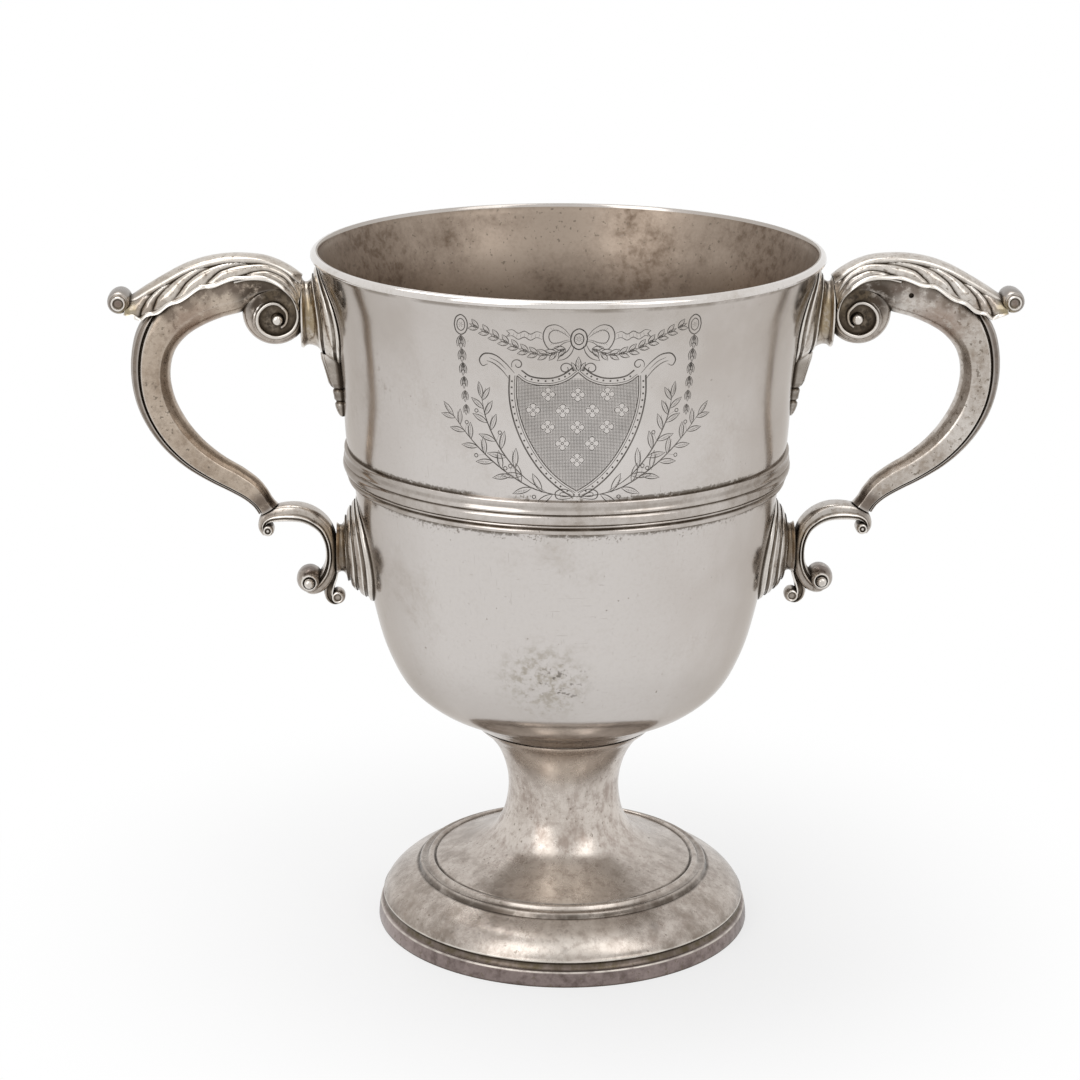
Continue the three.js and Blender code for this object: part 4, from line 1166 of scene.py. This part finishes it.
# Husk drop
# Under the upper socket hangs a small cast husk, flat to the wall.
# It narrows downwards to a bead and a tip, with a waist above each.
BEAD_WAIST, TIP_WAIST = 139.9, 136.7
husk = spin_round("husk_drop", [
    (0, 132.7), (0.6, 132.9), (1.0, 133.5), (1.35, 134.4), (1.6, 135.4), (1.62, 136.1), (1.3, 136.5), (1.18, 136.75),
    (1.35, 137), (1.62, 137.3), (1.6, 138.2), (1.68, 139.2), (1.5, 139.65), (1.28, 139.9), (1.42, 140.15), (1.8, 140.5),
    (2.0, 141.5), (2.15, 143), (2.35, 144.5), (2.6, 146), (2.9, 147.5), (2.9, 149), (0, 149.6)], closed=False,
    around=48)
carving = []
for vertex in husk.data.vertices:
    x, y, z = vertex.co / MM
    leafy = ease(0, 1, z, BEAD_WAIST, 141.5)
    wave = math.cos(min(abs(y) / 1.7, 1) * math.tau)
    proud = 0.45 + ease(0, 1.0, z, 133, 145) + 0.35 * wave * leafy
    waist = max(1 - abs(z - BEAD_WAIST) / 0.7, 1 - abs(z - TIP_WAIST) / 0.6, 0)
    carving.append((0.3 * wave - 0.1) * leafy - 0.6 * waist)
    vertex.co = Vector((math.sqrt(wall_radius(z) ** 2 - y * y) + max(proud + x, -0.3), y, z)) * MM
note_carving(husk, carving)
handle["husk"] = husk

# C-scroll
# Under the knee a second casting arches over to the bowl: a band with a bead along its edge and a
# groove inside it, rolled up small under the knee and into a ball with a boss below.
scroll_track = [
    (75.2, 0.7, 102.9), (76, 0.85, 104.4), (75.6, 1.2, 106.1), (74.2, 1.7, 107.4), (71.8, 2, 108.1),
    (68.9, 2.15, 108.4), (65.7, 2.1, 108.1), (62.8, 2, 106.8), (60.5, 1.8, 104.7), (59.1, 1.6, 101.6),
    (58.6, 1.55, 98.2), (58.9, 1.6, 94.8), (60.2, 1.8, 91.6), (62.1, 1.9, 89.5), (64.2, 1.4, 88.7), (65.3, 0.7, 88.9)]
scroll_band = bent_bar("scroll_band", scroll_track, both_sides([
    (-1, 0), (-1, 0.3), (-0.97, 0.5), (-0.9, 0.66), (-0.76, 0.78), (-0.5, 0.86), (-0.2, 0.9), (-0.02, 0.91),
    (0.06, 0.96), (0.13, 1.02), (0.22, 1.05), (0.31, 1.02), (0.37, 0.93), (0.41, 0.8), (0.47, 0.74), (0.54, 0.74),
    (0.66, 0.8), (0.8, 0.82), (0.9, 0.76), (0.97, 0.58), (1, 0.3), (1, 0)]),
    lambda share: ease(2.5, 3.8, share, 0.08, 0.35), rings=90)
knee_roll = turned_across("knee_roll", [
    (1.6, 0), (1.58, 1.2), (1.45, 2), (1.2, 2.5), (1.0, 2.65), (0.82, 2.6), (0.7, 2.3), (0.5, 2.3), (0.3, 2.6),
    (0, 2.65)], 74.5, 103.9, around=32)
scroll_ball = turned_across("scroll_ball", [
    (3.3, 0), (3.27, 1.0), (3.1, 2.1), (2.8, 3.1), (2.4, 3.9), (2.1, 4.35), (1.85, 4.6), (1.65, 4.6), (1.5, 4.2),
    (1.36, 4.2), (1.28, 4.9), (1.15, 5.6), (0.8, 6.05), (0, 6.2)], 64.3, 90.9, around=48)
handle["c_scroll"] = make_one("c_scroll", scroll_band, knee_roll, scroll_ball)

# Sprig
# A short leaf lies along the foot of the C-scroll.
# It curls up under it into a small roll.
stalk = bent_bar("stalk", [
    (57.5, 0.6, 94.2), (58.2, 0.95, 91.8), (59.1, 1.15, 89.5), (59.5, 1.15, 87.4), (59.1, 0.95, 85.9),
    (58.1, 0.6, 85.0), (57.0, 0.3, 84.9)],
    both_sides([(-1, 0), (-1, 0.8), (-0.85, 1), (-0.6, 1), (-0.3, 0.8), (0.3, 0.75), (0.6, 0.95), (0.85, 1),
                (1, 0.8), (1, 0)]),
    lambda share: 1.9 + 0.5 * math.sin(share * math.pi), rings=30)
stalk_roll = turned_across("curl", [
    (1.9, 0), (1.87, 1), (1.7, 1.8), (1.4, 2.3), (1.15, 2.42), (0.95, 2.3), (0.8, 2.05), (0.5, 2.0), (0, 2.1)],
    57.3, 86.3, around=40)
handle["sprig"] = make_one("sprig", stalk, stalk_roll)

# Lower socket
# The neck of the C-scroll ends in a larger oval socket.
# Its ribs follow the slope of the belly.
handle["lower_socket"] = socket("lower_socket", [
    (14, 13.2, 0), (14.2, 13.4, 0.05), (14.1, 13.3, 0.11), (13.7, 13.05, 0.155), (12.9, 12.4, 0.165),
    (12.7, 12.2, 0.175), (12.6, 12.15, 0.235), (12.65, 12.35, 0.26), (12.2, 12.05, 0.31), (11.8, 11.75, 0.36),
    (11.4, 11.45, 0.385), (10.8, 10.9, 0.39), (10.55, 10.65, 0.40), (10.45, 10.55, 0.45), (10.5, 10.8, 0.475),
    (10.1, 10.45, 0.52), (9.6, 10.05, 0.56), (8.9, 9.5, 0.595), (8.4, 9.05, 0.60), (7.8, 8.5, 0.605), (7.6, 8.3, 0.615),
    (7.5, 8.25, 0.655), (7.55, 8.5, 0.68), (7.25, 8.3, 0.70), (6.8, 7.95, 0.705), (6.2, 7.45, 0.71), (5.4, 6.85, 0.73),
    (4.8, 6.4, 0.77), (4.5, 6.1, 0.82), (4.4, 6, 0.88), (4.6, 6.2, 0.95),
    (5, 6.6, 1.03)], centre=98.8, collar=57.2, point=0, taper=0.6)

# Both handles
# The handles are cast from one pattern, so the left one is the right one turned half round. A pin
# hole in the front of the right grip let the air out when its halves were soldered.
stands_for = {
    "grip": ("grip_front_half", "grip_back_half"), "spine": ("spine_strip",), "volute": ("volute",),
    "leaf": ("leaf_cap",), "thumb": ("thumb_scroll",), "upper_socket": ("upper_socket",), "husk": ("husk_drop",),
    "c_scroll": ("c_scroll",), "sprig": ("sprig",), "lower_socket": ("lower_socket",)}
kinds = {"grip": "grip", "leaf": "leaf", "upper_socket": "leaf", "spine": "strip", "thumb": "thumb", "volute": "volute"}
for part, nodes in stands_for.items():
    right_piece = handle[part]
    take(right_piece)
    bpy.ops.object.duplicate(linked=False)
    left_piece = bpy.context.object
    left_piece.rotation_euler = (0, 0, math.pi)
    bpy.ops.object.transform_apply(location=True, rotation=True, scale=True)
    for side, piece in (("right", right_piece), ("left", left_piece)):
        piece.name = piece.data.name = f"{side}_hand_{part}"
        set_in_frame(piece, "handle_silver", handle_finish[side, kinds.get(part, "foliage")],
                     *(f"{side}_{node}" for node in nodes))
        smooth_faces(piece, 45)

put_down()
VENT = Vector((83.9, -5, 164.1))
VENT_RADIUS = 0.65
bpy.ops.mesh.primitive_cylinder_add(vertices=24, radius=VENT_RADIUS * MM, depth=4 * MM, location=VENT * MM,
                                    rotation=(math.pi / 2, 0, 0))
drill = bpy.context.object
modify(handle["grip"], "BOOLEAN", object=drill)
bpy.data.objects.remove(drill)

# Floor, light and camera
# The cup stands on a plain pale table in the soft light of a photographer's tent.
# The table fades to white away from the cup, and shows white in what the silver mirrors.
put_down()
bpy.ops.mesh.primitive_plane_add(size=6)
table = bpy.context.object
table.name = "table"
paper = Finish("white_paper", (0.86, 0.86, 0.86))
paper.surface(0.0, 0.9)
glow = paper.add("ShaderNodeEmission", {"Color": (1, 1, 1, 1), "Strength": 1.0})
seen = paper.add("ShaderNodeLightPath").outputs
apart = paper.add("ShaderNodeVectorMath", {0: paper.place}, operation="LENGTH").outputs["Value"]
white = paper.between(apart, 0.05, 0.16, 0.68, 1.0)
mirrored = paper.most(seen["Is Glossy Ray"], seen["Is Transmission Ray"])
share = paper.most(paper.times(seen["Is Camera Ray"], white), paper.times(mirrored, paper.most(white, 0.85)))
blend = paper.add("ShaderNodeMixShader", {0: share, 1: paper.shader.outputs["BSDF"], 2: glow.outputs["Emission"]})
paper.wire(blend.outputs["Shader"], paper.tree.nodes["Material Output"].inputs["Surface"])
table.data.materials.append(paper.material)

world = bpy.context.scene.world or bpy.data.worlds.new("tent")
bpy.context.scene.world = world
world.use_nodes = True
sky = world.node_tree
sky.nodes.clear()
ray, tent, backdrop, mirrored, seen_at_all, pick, out = [sky.nodes.new(kind) for kind in (
    "ShaderNodeLightPath", "ShaderNodeBackground", "ShaderNodeBackground", "ShaderNodeMath", "ShaderNodeMath",
    "ShaderNodeMixShader", "ShaderNodeOutputWorld")]
tent.inputs["Color"].default_value = (0.55, 0.55, 0.555, 1)
backdrop.inputs["Color"].default_value = (1, 1, 1, 1)
mirrored.operation = seen_at_all.operation = "MAXIMUM"
for source, socket_to_fill in (
        (ray.outputs["Is Glossy Ray"], mirrored.inputs[0]), (ray.outputs["Is Transmission Ray"], mirrored.inputs[1]),
        (ray.outputs["Is Camera Ray"], seen_at_all.inputs[0]), (mirrored.outputs[0], seen_at_all.inputs[1]),
        (seen_at_all.outputs[0], pick.inputs[0]), (tent.outputs[0], pick.inputs[1]),
        (backdrop.outputs[0], pick.inputs[2]), (pick.outputs[0], out.inputs["Surface"])):
    sky.links.new(source, socket_to_fill)


def softbox(name, location, size, power):
    put_down()
    bpy.ops.object.light_add(type="AREA", location=location)
    lamp = bpy.context.object
    lamp.name = name
    lamp.data.shape = "RECTANGLE"
    lamp.data.size, lamp.data.size_y = size
    lamp.data.energy = power
    aim = Vector((0, 0, 0.09)) - Vector(location)
    lamp.rotation_euler = aim.to_track_quat("-Z", "Y").to_euler()


softbox("softbox_left", (-0.68, -0.82, 0.80), (0.6, 1.3), 3.6)
softbox("softbox_right", (0.60, -0.66, 1.0), (0.5, 1.0), 1.9)
softbox("softbox_top", (-0.25, 0.35, 1.3), (0.8, 0.8), 5)

CAMERA_PLACE = (-0.03095, -0.70165, 0.3123)
LENS = 97.25
pitch, turn, roll = math.radians(16.778), math.radians(2.0), math.radians(0.369)
ahead = Vector((math.sin(turn) * math.cos(pitch), math.cos(turn) * math.cos(pitch), -math.sin(pitch)))
right = ahead.cross(Vector((0, 0, 1))).normalized()
up = right.cross(ahead)
tilted = right * math.cos(roll) + up * math.sin(roll)
upright = up * math.cos(roll) - right * math.sin(roll)
basis = Matrix((tilted, upright, -ahead)).transposed()
put_down()
bpy.ops.object.camera_add(location=CAMERA_PLACE, rotation=basis.to_euler())
camera = bpy.context.object
camera.data.sensor_width = 36
camera.data.lens = LENS
bpy.context.scene.camera = camera
bpy.context.scene.view_settings.view_transform = "Standard"
